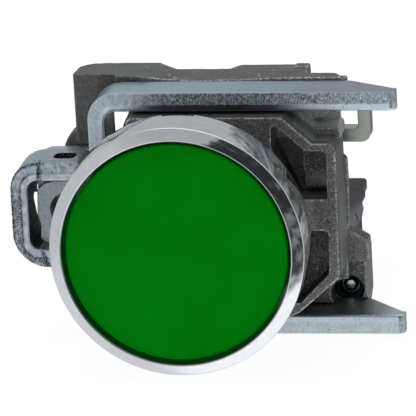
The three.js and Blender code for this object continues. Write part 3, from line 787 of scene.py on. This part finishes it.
def texture_casting(collar):
    """roughens the surface and marks its tones, painted shade and painted light: all regions are
    boxes in x, y, z
    """
    points, normals = get_points(collar), get_normals(collar)
    x, y, z = points.T
    front = ease(-normals[:, 1], 0.75, 0.95)
    right = ease(normals[:, 0], 0.5, 0.9)
    on_rim = front * (np.abs(y - 6.0) < 0.35)
    pocket = (between(y, 7.2, 11.2) & between(x, 8.6, 15.5) & (np.abs(z) < 10.9)
              & (np.hypot(x, z) > 11.6)).astype(float)
    sandy = np.clip(on_rim + 0.55 * front + 0.25, 0, 1)
    sandy[(np.abs(normals[:, 1]) < 0.5) & (y > 6.5)] *= 0.45
    sandy[(x < -8.5) & (y > 11.0)] *= 0.25
    # painted highlight along convex edges, weaker on the left block
    crest = ease(convexity(collar), 0.0030, 0.0085)
    set_attribute(collar, "crest", crest * np.where((x < -7.0) & (y > 10.5), 0.25, 1.0))

    # fine sand and broad waves, heights in millimetres
    height = 0.030 * lump(points, 3.2) * sandy + 0.022 * lump(points, 1.1, seed=7.7)
    moved = points + normals * height[:, None]
    moved[:, 2] = np.clip(moved[:, 2], LOW.z + BOX_GAP, HIGH.z - BOX_GAP)
    moved[:, 0] = np.clip(moved[:, 0], LOW.x + BOX_GAP, HIGH.x - BOX_GAP)
    set_points(collar, moved)
    set_attribute(collar, "sandy", sandy)

    pads = pocket * (y < 9.2) * (z > 0) * (-normals[:, 1] > 0.6)
    low_pad = pads * (z < 5.0)
    left_front = front * (x < -6.8) * (y > 12.0) * (z > 6.0)
    low_lug = front * (x > 15.2) * (z < -7.3) * between(y, 13.2, 14.2)
    # painted shade in the pockets, on the left front (heaviest right of x = -12.2, behind the
    # yoke) and in the recess below the lug
    dark = (pocket * 0.8 * (1 - low_pad) + left_front * (0.30 + 0.40 * (x > -12.2))
            + low_lug * 0.35)
    set_attribute(collar, "pocket", np.clip(dark, 0, 1))

    # painted light: recesses, pads, lug faces, side wall, web, deep faces and tops brightened
    # where light falls
    recess = between(y, 10.3, 14.6) & (x > 8.5) & between(z, 8.3, 12.8)
    lug_wall = right * (x > 17.7) * (z < -3.5)
    lug_face = front * (x > 15.9) * (z < -3.5) * (y < 13.0)
    side_wall = right * between(x, 14.8, 17.5) * ease(y, 6.7, 7.6)
    deep = between(y, 11.15, 16.0) * between(x, 8.0, 13.2) * between(z, 0.5, 9.0)
    web = (front * (y < 7.5) * (x > 10.5) * (1 - ease(x, 13.2, 14.2))
           * ease(z, -2.0, -1.2) * (1 - ease(z, 2.2, 3.0)))
    painted_light = (recess * 0.95 + low_pad * 0.26 + lug_wall * 0.33 + lug_face * 0.09
            + side_wall * (0.05 + 0.25 * ease(-z, -5.0, 4.5)) + web * 0.55
            + deep * 0.30 + pocket * (1 - pads) * (z > 2.0) * 0.30
            + ease(normals[:, 2], 0.7, 0.95) * (z > 12.5) * 0.05)
    set_attribute(collar, "painted_light", np.clip(painted_light, 0, 1))


def make_collar():
    collar = from_cad("fixing_collar", "collar_casting")
    # ledge behind the rim at the upper right, and the boss beside it
    ledge = rounded([(10.0, 11.0), (13.1, 8.2), (15.9, 8.2), (16.45, 8.2), (16.35, 9.5, 0.3),
                     (13.4, 9.5, 0.5), (11.0, 11.9, 0.2)], 4)
    add(collar, prism(ledge, "y", 10.1, 14.3))
    add(collar, cylinder(1.55, y=(12.4, 14.4), x=13.6, z=11.5, segments=40))
    cut(collar, top_cutter())
    soften_casting(collar)
    texture_casting(collar)
    finish_piece(collar, "root", "diecast_zinc", "fixing_collar")


# =====================================================================
# sheared strip: swept along inner and outer edges, used for yoke and lever
# =====================================================================
FRONT_STEPS, SIDE_STEPS, REAR_STEPS, ARC_STEPS = 15, 22, 8, 4
END_ROUND = 0.10      # rounding at the strip's two ends


def strip_ring(width, front, rear, inset, radii):
    """one cross-section as [across, y], from the inner front corner round by the outer side"""
    front_in, front_out, rear_out, rear_in = radii
    inner, outer, near, far = inset, width - inset, front + inset, rear - inset
    ring = []

    def arc(across, y, radius, start):
        for j in range(ARC_STEPS + 1):
            w = math.radians(start + 90 * j / ARC_STEPS)
            ring.append((across + radius * math.cos(w), y + radius * math.sin(w)))

    def side(start, end, steps):
        for j in range(1, steps):
            ring.append(tuple(a + (b - a) * j / steps for a, b in zip(start, end)))
    arc(inner + front_in, near + front_in, front_in, 180)
    side((inner + front_in, near), (outer - front_out, near), FRONT_STEPS)
    arc(outer - front_out, near + front_out, front_out, 270)
    side((outer, near + front_out), (outer, far - rear_out), SIDE_STEPS)
    arc(outer - rear_out, far - rear_out, rear_out, 0)
    side((outer - rear_out, far), (inner + rear_in, far), REAR_STEPS)
    arc(inner + rear_in, far - rear_in, rear_in, 90)
    side((inner, far - rear_in), (inner, near + front_in), SIDE_STEPS)
    return ring


def face_relief(s, v, rough, seed):
    """depth of the sheared face at arc length s and fraction v across"""
    torn = float(ease(v, 0.36, 0.46))
    coarse = noise.noise(Vector((s * 3.1 + seed, v * 1.4, seed)))
    fine = noise.noise(Vector((s * 7.0 + seed, v * 6.0, 3.0)))
    smooth = noise.noise(Vector((s * 0.9, v * 3, seed)))
    return (torn * rough * (coarse * 0.6 + fine * 0.4 + 0.25)
            + (1 - torn) * 0.012 * smooth)


def measured(sections, least):
    """adds arc length to [inner, outer, front, rear], dropping steps below least"""
    stations, length, before = [], 0.0, None
    for a, b, front, rear in sections:
        middle = Vector(((a[0] + b[0]) / 2, (a[1] + b[1]) / 2))
        if before is not None:
            step = (middle - before).length
            if step < least:
                continue
            length += step
        before = middle
        stations.append((a, b, front, rear, length))
    return stations


def strip(name, stations, rough, seed, radii):
    """stations: inner [x, z], outer [x, z], front y, rear y, arc length.
    Also returns rows of [arc length, fraction across, frontness] per vertex"""
    verts, faces, rows = [], [], []
    for i, (a, b, front, rear, s) in enumerate(stations):
        a, b = Vector(a), Vector(b)
        width = (b - a).length
        across = (b - a) / width
        end = min(s - stations[0][4], stations[-1][4] - s)
        inset = 0.0
        if end < END_ROUND:
            inset = END_ROUND - math.sqrt(max(0, END_ROUND ** 2 - max(0, END_ROUND - end) ** 2))
        near = front + inset
        ring = strip_ring(width, front, rear, inset, radii)
        for u, y in ring:
            v = u / width
            frontness = 1.0 if y < near + 0.02 and radii[0] * 0.3 < u else 0.0
            if y < near + radii[0] and u < width * 0.5:
                frontness = max(frontness, 1 - (y - near) / radii[0])
            if frontness > 0.5:
                y += face_relief(s, v, rough, seed)
            p = a + across * u
            verts.append((p[0], y, p[1]))
            rows.append((s, v, frontness))
        n = len(ring)
        if i:
            o0, o1 = (i - 1) * n, i * n
            for j in range(n):
                k = (j + 1) % n
                faces.append([o0 + j, o0 + k, o1 + k, o1 + j])
    faces.append(list(range(n)))
    faces.append([o1 + j for j in reversed(range(n))])
    ob = solid(name, verts, faces)
    shade_smooth(ob)
    rows = np.array(rows)
    for k, attribute in enumerate(("su", "tv", "front")):
        set_attribute(ob, attribute, rows[:, k])
    return ob, rows


# =====================================================================
# clamp yoke: a U open to the right
# =====================================================================
TIP_X = 23.3                            # right end of both arms
ARM_IN, ARM_OUT = 12.15, 14.4           # arm faces, distance from z = 0
BEND_X, BEND_IN, BEND_OUT = -9.0, 1.3, 3.3    # bend centre and radii
LEG_IN, LEG_OUT = BEND_X - BEND_IN, BEND_X - BEND_OUT
YOKE_FRONT, YOKE_REAR = 7.6, 12.6
TIP_ROUND = 0.9
UPPER_TAPER, LOWER_TAPER = 17.6, 18.4   # x where the rear edges start to slope
LOWER_REAR = 14.3


def yoke_rear(x, z):
    if z > 9.0:
        if x < UPPER_TAPER:
            return YOKE_REAR
        return lerp(YOKE_REAR, 9.3, min(1, (x - UPPER_TAPER) / 5.3))
    if z > -9.0:
        k = min(1.0, max(0.0, (abs(z) - 8.4) / 0.6))
        return lerp(11.3, YOKE_REAR, k * k * (3 - 2 * k))
    if x < -9.0:
        return YOKE_REAR
    if x < -6.5:
        return lerp(YOKE_REAR, LOWER_REAR, (x + 9.0) / 2.5)
    if x < LOWER_TAPER:
        return LOWER_REAR
    return lerp(LOWER_REAR, 9.2, min(1, (x - LOWER_TAPER) / 4.5))


def yoke_front(x):
    past = max(0.0, x - (TIP_X - TIP_ROUND))
    return YOKE_FRONT + TIP_ROUND - math.sqrt(max(0.0, 0.81 - min(past, 0.88) ** 2))


def yoke_arm(sign):
    reach = TIP_X - BEND_X
    steps = np.concatenate([np.arange(0, 0.9, 0.03), np.arange(0.9, reach, 0.14), [reach]])
    return [((x, sign * ARM_IN), (x, sign * ARM_OUT), yoke_front(x), yoke_rear(x, sign * ARM_IN))
            for x in TIP_X - steps]


def yoke_bend(sign):
    sections = []
    for w in np.linspace(0, PI / 2, 34)[1:]:
        a, b = [(BEND_X - radius * math.sin(w), sign * (arm - radius + radius * math.cos(w)))
                for arm, radius in ((ARM_IN, BEND_IN), (ARM_OUT, BEND_OUT))]
        rear = yoke_rear((a[0] + b[0]) / 2, (a[1] + b[1]) / 2)
        sections.append((a, b, YOKE_FRONT, rear))
    return sections


def make_yoke():
    leg = [((LEG_IN, z), (LEG_OUT, z), YOKE_FRONT, yoke_rear((LEG_IN + LEG_OUT) / 2, z))
           for z in np.arange(10.8, -10.8, -0.15)]
    sections = yoke_arm(1) + yoke_bend(1) + leg + yoke_bend(-1)[::-1] + yoke_arm(-1)[::-1]
    yoke, rows = strip("yoke_strip", measured(sections, 0.004), rough=0.05, seed=3.3,
                       radii=(0.30, 0.10, 0.10, 0.12))
    x, _, z = get_points(yoke).T
    across, front = rows[:, 1], rows[:, 2]
    up = get_normals(yoke)[:, 2]
    upper, lower = z > 11.5, z < -11.5
    torn = 0.25 + 0.75 * ease(x, -8, -3) * (1 - 0.35 * ease(x, 12, 20))
    torn = np.where(lower, 0.20, np.where(upper, torn, 0.16))
    # painted dark reflection on the upper arm's burnished band, a little on the lower arm
    dark = np.where(upper, ease(x, -7.5, -3.0) * (1 - ease(x, 8.5, 13.5)), 0.0)
    # painted highlight lines along both edges of the front face
    edge_highlight = front * (ease(across, 0.93, 0.985) + (1 - ease(across, 0.03, 0.09)))
    # painted shadow of the collar and lug on the lower arm's top, fading towards the tip
    grime_and_shade = np.where(lower & (up > 0.7), 0.55 * (1 - ease(x, 20.0, 22.5)), 0.0)
    set_attribute(yoke, "smoothtop", ease(up, 0.6, 0.95) * upper)
    set_attribute(yoke, "grime_and_shade", grime_and_shade)
    set_attribute(yoke, "torn", torn)
    set_attribute(yoke, "painted_burnish_dark", np.where(lower, 0.12, dark))
    set_attribute(yoke, "edge_highlight", np.clip(edge_highlight, 0, 1))
    finish_piece(yoke, "yoke", "zinc_plated_steel", "clamp_yoke", material="strip")


# =====================================================================
# locking lever: a strip bent round the left side, with its plates
# =====================================================================
# edges of the bent strip: [x, z, corner radius]
LEVER_IN = [(-13.5, 4.15), (-19.7, 4.15, 1.1), (-19.78, -4.1, 1.3), (-13.5, -4.1)]
LEVER_OUT = [(-13.5, 6.35), (-21.7, 6.35, 3.3), (-21.75, -6.1, 4.1), (-13.5, -6.35)]
LEVER_FRONT, LEVER_REAR = 7.0, 12.8
BEND_STEPS, STRAIGHT_STEP = 30, 0.16
SLOT_X, SLOT_Y, SLOT_R = (-16.9, -14.4), (8.8, 11.1), 0.7    # window in the top arm


def path_pieces(path):
    """splits a filleted path into lines (start, end) and arcs (centre, radius, a0, a1)"""
    pieces = []
    start = Vector(path[0][:2])
    for i in range(1, len(path) - 1):
        p = Vector(path[i][:2])
        to_before = (Vector(path[i - 1][:2]) - p).normalized()
        to_after = (Vector(path[i + 1][:2]) - p).normalized()
        reach, step = fillet(to_before, to_after, path[i][2])
        centre = p + step
        arc_start, arc_end = p + to_before * reach, p + to_after * reach
        pieces.append((start, arc_start))
        pieces.append((centre, path[i][2], *arc_angles(arc_start - centre, arc_end - centre)))
        start = arc_end
    pieces.append((start, Vector(path[-1][:2])))
    return pieces


def on_arc(arc, t):
    centre, radius, a0, a1 = arc
    w = lerp(a0, a1, t)
    return centre + Vector((math.cos(w), math.sin(w))) * radius


def paired_points(path_in, path_out):
    """matched points along two open paths with the same number of corners"""
    pairs = []
    for a, b in zip(path_pieces(path_in), path_pieces(path_out)):
        if len(a) == 2:
            longest = max((a[0] - a[1]).length, (b[0] - b[1]).length)
            n = max(2, round(longest / STRAIGHT_STEP))
            pairs += [(a[0].lerp(a[1], i / n), b[0].lerp(b[1], i / n)) for i in range(n + 1)]
        else:
            pairs += [(on_arc(a, i / BEND_STEPS), on_arc(b, i / BEND_STEPS))
                      for i in range(1, BEND_STEPS)]
    return pairs


def wear_lever(lever):
    """marks the sheared face, dents it and spreads grime and painted shade"""
    points, normals = get_points(lever), get_normals(lever)
    x, y, z = points.T      # views: moving x, y or z moves the points
    top, bottom = z > 3.3, z < -3.3
    # fraction across the strip, worked out anew because the cuts added points
    v = np.clip((-19.7 - x) / 2.0, 0, 1)
    v = np.where(top & (x > -18.4), (z - 4.15) / 2.2, v)
    v = np.where(bottom & (x > -18.0), (-4.1 - z) / 2.25, v)
    # bends: centre x, centre z, inner radius, outer radius, where
    for cx, cz, r_in, r_out, bend in ((-18.6, 3.05, 1.1, 3.2, top & (x <= -18.4)),
                                      (-18.45, -2.8, 1.3, 3.75, bottom & (x <= -18.0))):
        v = np.where(bend, (np.hypot(x - cx, z - cz) - r_in) / (r_out - r_in), v)
    v = np.clip(v, 0, 1)
    along = np.where(top, 10 - (x + 20), np.where(bottom, 26 + (x + 20), 18 - z))
    front = ((normals[:, 1] < -0.35) & (y < 7.6)).astype(float)
    set_attribute(lever, "su", along)
    set_attribute(lever, "tv", v)
    set_attribute(lever, "front", front)

    # a crease across each bend, dents in the face, ragged outer edges
    top_crease = top * np.exp(-((x + 18.25 - 0.06 * (z - 5)) / 0.16) ** 2)
    bottom_crease = bottom * np.exp(-((x + 18.1 + 0.25 * (z + 5)) / 0.20) ** 2)
    crease = np.maximum(top_crease, bottom_crease) * (y < 8.0)
    y += crease * 0.16
    dent = np.clip(lump(points, 2.0, seed=4.0), -1, 1)
    y += front * (v > 0.4) * dent * 0.10
    x += (y < 8.2) * (v > 0.85) * (x < -19.0) * 0.05 * lump(points, 4.0, seed=1.0)
    z += (y < 8.2) * (v > 0.85) * bottom * 0.06 * lump(points, 4.0, seed=2.0)
    x[:] = np.maximum(x, LOW.x + BOX_GAP)
    set_points(lever, points)

    # inner walls facing the plate and the slot walls: darkened below with painted shade
    inside = ((x > -20.0) & (np.abs(z) < 4.6) & (y > 7.15) & (v < 0.12)
              & (normals[:, 0] > 0.3)).astype(float)
    outer_edge = front * ease(v, 0.84, 0.95) * (x < -17.6)
    slot_wall = (between(x, SLOT_X[0] - 0.06, SLOT_X[1] + 0.06)
                 & between(y, SLOT_Y[0] - 0.06, SLOT_Y[1] + 0.06)
                 & (z > 3.9) & (np.abs(normals[:, 2]) < 0.98)).astype(float)
    patch = np.clip(0.5 + 1.4 * lump(points, 1.1, seed=5.5), 0, 1) * (y < 8.3)
    groove = front * np.exp(-((v - 0.43) / 0.055) ** 2) * (x < -17.8)
    # painted shade on the inner walls, slot walls and bend creases, with patchy grime, a darker
    # outer edge and a dark line between the bands
    grime_and_shade = (0.14 + 0.32 * patch + 0.55 * groove + crease * 0.9 + inside * 0.92
             + slot_wall + outer_edge)
    leg = (1 - ease(z, 2.5, 4.0)) * ease(z, -6.0, -4.5) + 0.6 * bottom
    # painted highlight along the inner edge of the front face, fainter at the outer edge
    edge_highlight = front * np.clip(ease(v, 0.95, 0.99) * 0.3 + (1 - ease(v, 0.04, 0.12)) * 0.8, 0, 1)
    set_attribute(lever, "grime_and_shade", np.clip(grime_and_shade, 0, 1))
    set_attribute(lever, "smoothtop", ease(normals[:, 2], 0.6, 0.95) * 0.6)
    set_attribute(lever, "torn", np.clip(0.40 + 0.75 * np.clip(leg, 0, 1), 0, 1))
    # painted dark reflection on the burnished band
    set_attribute(lever, "painted_burnish_dark", np.where(top | bottom, 0.05, 0.10))
    set_attribute(lever, "edge_highlight", edge_highlight)


def make_lever():
    sections = [(a, b, LEVER_FRONT, LEVER_REAR) for a, b in paired_points(LEVER_IN, LEVER_OUT)]
    lever, _ = strip("lever_strip", measured(sections, 0.01), rough=0.07, seed=9.1,
                     radii=(0.22, 0.14, 0.12, 0.12))
    (x0, x1), (y0, y1) = SLOT_X, SLOT_Y
    slot = rounded([(x0, y0, SLOT_R), (x1, y0, SLOT_R), (x1, y1, SLOT_R), (x0, y1, SLOT_R)])
    cut(lever, prism(slot, "z", 3, 8))
    # relief in the rear edge of the leg, beside the finger plate
    relief = [(10.75, 1.75), (10.35, 1.2), (12.0, -1.4), (13.2, -1.6), (13.2, 1.05)]
    cut(lever, prism(relief, "x", -22.5, -19.0))
    wear_lever(lever)
    finish_piece(lever, "lever", "zinc_plated_steel", "locking_lever", material="strip")


def make_finger_plate():
    plate = prism(rounded([
        (-18.98, 2.55, 0.5), (-18.15, 3.3, 0.6), (-17.0, 3.55, 0.6), (-13.5, 3.7, 0.1),
        (-13.5, -4.3, 0.1), (-18.0, -3.95, 0.25), (-18.95, -3.35, 0.3), (-18.8, -1.8, 0.8),
        (-19.12, -0.6, 1.0)]), "y", 9.0, 10.4, "lever_finger_plate")
    cut(plate, cylinder(1.95, y=(8, 12), x=-15.60, z=0.20, segments=64))
    bevel(plate, 0.16, 4)
    finish_piece(plate, "lever", "zinc_plated_steel", "locking_lever", material="finger")


def make_prongs():
    prongs = prism(rounded([
        (-20.3, 5.3, 0.6), (-20.3, 2.5, 0.15), (-19.68, 2.1, 0.2), (-19.68, -1.9, 0.2),
        (-20.3, -2.3, 0.15), (-20.3, -5.0, 0.6), (-18.0, -6.1, 0.4), (-9.15, -6.35, 0.3),
        (-9.15, -4.75, 0.3), (-10.6, -4.75, 0.4), (-10.6, 4.75, 0.4), (-9.15, 4.75, 0.3),
        (-9.15, 6.35, 0.3), (-18.0, 6.3, 0.4)], 6), "y", 12.7, 14.2, "lever_prongs")
    bevel(prongs, 0.12, 3)
    finish_piece(prongs, "lever", "zinc_plated_steel")


# =====================================================================
# latch clip and clamp screw
# =====================================================================
CLAMP_X, CLAMP_Z = 16.05, -10.9


def make_clip():
    clip = prism(rounded([
        (19.3, 10.9, 0.25), (17.85, 10.9, 0.25), (17.85, 8.1, 0.35), (13.8, 8.1, 0.1),
        (13.8, 6.5, 0.1), (19.3, 6.5, 1.1)]), "y", 14.6, 16.6, "clip_hook")
    bevel(clip, 0.14, 4)
    finish_piece(clip, "root", "zinc_plated_steel", "latch_clip", material="clip")


def make_clamp_screw():
    screw = turned(rounded([
        (0, 15.2), (0.62, 15.3, 0.25), (0.87, 15.62, 0.15), (0.87, 15.95), (1.15, 15.95),
        (1.15, 14.68, 0.03), (1.25, 14.6, 0.04), (1.6, 14.6, 0.1), (1.6, 16.1, 0.1),
        (1.4, 16.1), (1.4, 22.2, 0.3), (0, 22.2),
    ], 6), 96, CLAMP_X, CLAMP_Z, "screw_body")
    cut(screw, block((CLAMP_X - 0.3, CLAMP_X + 0.3), (21.1, 23), (-14, -8)))
    shade_by_angle(screw, 35)
    x, y, z = get_points(screw).T
    radius = np.hypot(x - CLAMP_X, z - CLAMP_Z)
    # painted shade on the screw's collar, which sits in the hole
    set_attribute(screw, "painted_hole_shade", ((y < 16.2) & (radius > 0.95)).astype(float))
    finish_piece(screw, "screw", "plated_screw", "clamp_screw", material="clamp_screw")


# =====================================================================
# contact block
# =====================================================================
TERMINAL_X, TERMINAL_Z = 10.4, -10.0
TERMINAL_REAR = 35.9

# coil springs: CAD node, body, joint, travel, whether the rear end is the fixed one
SPRINGS = (("head_spring", "root", "button_press", 4.3, True),
           ("plunger_spring", "root", "plunger_follow", 4.3, True),
           ("bridge_spring", "plunger", "bridge_follow", 1.72, False))

# bevel widths of the CAD pieces that get softened edges
BEVELS = {
    "pusher": 0.15, "pusher_plate": 0.2, "lip_seal": 0.05, "block_plunger": 0.15,
    "terminal_clamp_left": 0.12, "terminal_clamp_right": 0.12, "fixed_contact_left": 0.08,
    "fixed_contact_right": 0.08, "bridge_contact": 0.08, "bridge_tip_left": 0.08,
    "bridge_tip_right": 0.08, "fixed_tip_left": 0.08, "fixed_tip_right": 0.08}


def make_block_shells():
    housing = from_cad("block_housing", "housing_shell")
    bevel(housing, 0.10, 2)
    finish_piece(housing, "root", "block_plastic", "block_housing")
    cover = from_cad("block_cover", "cover_shell")
    # four grooves across the rear
    cut(cover, *[block((-4.6, 4.6), (36.9, 37.6), (z - 0.25, z + 0.25))
                 for z in (-13.2, -11.8, -8.2, -6.8)])
    bevel(cover, 0.10, 2)
    finish_piece(cover, "root", "block_plastic", "block_cover")


def make_terminal_screw(side, x):
    screw = turned(rounded([
        (0, 27.2), (1.5, 27.2, 0.3), (1.5, 33.85), (2.4, 33.85, 0.12),
        (2.4, TERMINAL_REAR, 0.25), (0, TERMINAL_REAR)], 5), 96,
        x, TERMINAL_Z, "terminal_screw_body_" + side)
    # cross recess: an upright and a level slot, as half sizes in x and z
    cut(screw, *[block((x - half_x, x + half_x), (TERMINAL_REAR - 1, 37),
                       (TERMINAL_Z - half_z, TERMINAL_Z + half_z))
                 for half_x, half_z in ((0.35, 3), (3, 0.35))])
    shade_by_angle(screw, 35)
    finish_piece(screw, "tscrew_" + side, "plated_screw", "terminal_screw_" + side)


def make_spring(name, body, joint, travel, rear_fixed):
    """a copy of the CAD coil, shaded smooth and given its material and body"""
    coil = from_cad(name, "coil_" + name)
    shade_smooth(coil)
    finish_piece(coil, body, "spring_steel", name)
    y = get_points(coil)[:, 1]
    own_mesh(coil)


def finish_cad_pieces():
    """the CAD nodes left in view keep their shape"""
    slots = {p["node"]: p["material_slot"] for p in frame["record"]["subparts"]}
    for name, ob in CAD_NODES.items():
        if ob.hide_render:
            continue
        ob.data.materials.clear()
        ob.data.materials.append(MATERIALS[slots[name]])
        ob.modifiers.new("weld", "WELD").merge_threshold = WELD
        if name in BEVELS:
            flat = ob.modifiers.new("flat", "DECIMATE")
            flat.decimate_type = "DISSOLVE"
            flat.angle_limit = FLAT_ANGLE
            bevel(ob, BEVELS[name], 2, live=True)
        else:
            shade_smooth(ob)
            sub = ob.modifiers.new("sub", "SUBSURF")
            sub.levels = 1
            sub.render_levels = 1


# =====================================================================
# floor, world, light and camera: metres from here on
# =====================================================================
FLOOR_R, FLOOR_Z, FLOOR_SEGMENTS = 3.0, -0.01515, 96

# areas of the world seen by reflections and fill light:
# direction, cosine where the area starts, cosine where it is full, brightness
SOFT_AREAS = (
    ((0, 1, 0.25), -0.05, 0.45, 0.45),
    ((-0.1, -0.55, 0.80), 0.80, 0.97, 0.43),
    ((-0.17, -0.94, -0.29), 0.86, 0.97, 0.86),
    ((0, 0.25, 1), 0.80, 0.97, 1.1),
    ((-0.5, -0.3, -0.80), 0.70, 0.90, 0.70),
    ((0.40, -0.35, -0.84), 0.72, 0.86, 1.05))


def make_floor():
    points = [(FLOOR_R * math.cos(2 * PI * i / FLOOR_SEGMENTS),
               FLOOR_R * math.sin(2 * PI * i / FLOOR_SEGMENTS), FLOOR_Z)
              for i in range(FLOOR_SEGMENTS)]
    floor = link_mesh("floor", points, [list(range(FLOOR_SEGMENTS))])
    m = Nodes(bpy.data.materials.new("mat_floor"), "Material")
    diffuse = m.node("BsdfDiffuse", {"Color": (0.9, 0.9, 0.9)})
    glow = m.node("Emission", {"Color": (1, 1, 1), "Strength": 1.07})
    m.connect(m.node("MixShader", {0: 0.88, 1: diffuse, 2: glow}))
    floor.data.materials.append(m.owner)
    floor.visible_glossy = False
    floor.visible_diffuse = False


def make_world():
    world = bpy.data.worlds.new("studio")
    bpy.context.scene.world = world
    w = Nodes(world, "World", "Generated")

    def area(level, direction, start, full, value, wobble=None):
        direction = tuple(Vector(direction).normalized())
        cosine = w.node("VectorMath", {0: w.place, 1: direction}, out="Value",
                        operation="DOT_PRODUCT")
        if wobble:
            cosine = w.add(cosine, wobble)
        mask = w.ramp(cosine, start, full)
        return w.node("Mix", {0: mask, 2: level, 3: value}, data_type="FLOAT")
    level = 0.56
    for settings in SOFT_AREAS:
        level = area(level, *settings)

    # dark areas with ragged borders and streaks of light inside
    streak = w.noise(5.5, rough=0.6, vec=w.stretch(1.0, 1.0, 2.6))
    wobble = w.ramp(streak, 0.3, 0.7, to=(-0.022, 0.022), kind="LINEAR")
    dark = w.ramp(streak, 0.60, 0.72, to=(0.030, 0.22), kind="LINEAR")
    dark_low = w.ramp(streak, 0.47, 0.60, to=(0.040, 0.25), kind="LINEAR")
    dark_rear = w.ramp(streak, 0.50, 0.62, to=(0.060, 0.30), kind="LINEAR")
    for settings in (((0.40, -0.79, 0.40), 0.925, 0.940, dark),
                     ((0.631, -0.760, 0.142), 0.880, 0.900, dark),
                     ((0.69, -0.67, -0.26), 0.925, 0.975, dark_low),
                     ((0.27, 0.94, 0.06), 0.956, 0.970, dark_rear),
                     ((0.17, 0.94, -0.29), 0.988, 0.996, dark_rear)):
        level = area(level, *settings, wobble)
    studio = w.node("Background", {"Color": (0.955, 0.98, 1.0), "Strength": level})
    backdrop = w.node("Background", {"Color": (0.97, 0.97, 0.97), "Strength": 1.0})
    seen = w.node("LightPath", out="Is Camera Ray")
    w.connect(w.node("MixShader", {0: seen, 1: studio, 2: backdrop}))


def make_key_light():
    """disk above the button, aimed at the frame's origin"""
    light = bpy.data.lights.new("key", "AREA")
    light.shape = "DISK"
    light.size = 0.26
    light.energy = 0.50
    ob = bpy.data.objects.new("key", light)
    ob.location = (-0.16, -0.06, 0.52)
    ob.rotation_euler = (-Vector(ob.location)).to_track_quat("-Z", "Y").to_euler()
    bpy.context.scene.collection.objects.link(ob)
    ob.visible_glossy = False


def make_camera():
    """long lens from the front, above and to the right"""
    camera = bpy.data.cameras.new("camera")
    camera.lens = 459.1
    camera.sensor_width = 36
    camera.clip_start = 0.01
    camera.clip_end = 20
    ob = bpy.data.objects.new("camera", camera)
    right = (0.98474, 0.16590, -0.05250)
    up = (0.00211, 0.29030, 0.95693)
    forward = (-0.17399, 0.94244, -0.28552)
    position = (0.10677, -0.56446 + PANEL_Y * MM, 0.17404)
    rows = [(r, u, -f, p) for r, u, f, p in zip(right, up, forward, position)]
    ob.matrix_world = Matrix((*rows, (0, 0, 0, 1)))
    bpy.context.scene.collection.objects.link(ob)
    bpy.context.scene.camera = ob


make_bezel()
make_cap()
make_gasket()
make_collar()
make_yoke()
make_lever()
make_finger_plate()
make_prongs()
make_clip()
make_clamp_screw()
make_block_shells()
make_terminal_screw("left", -TERMINAL_X)
make_terminal_screw("right", TERMINAL_X)
for spring in SPRINGS:
    make_spring(*spring)
finish_cad_pieces()
make_floor()
make_world()
make_key_light()
make_camera()
bpy.context.scene.view_settings.view_transform = "Standard"
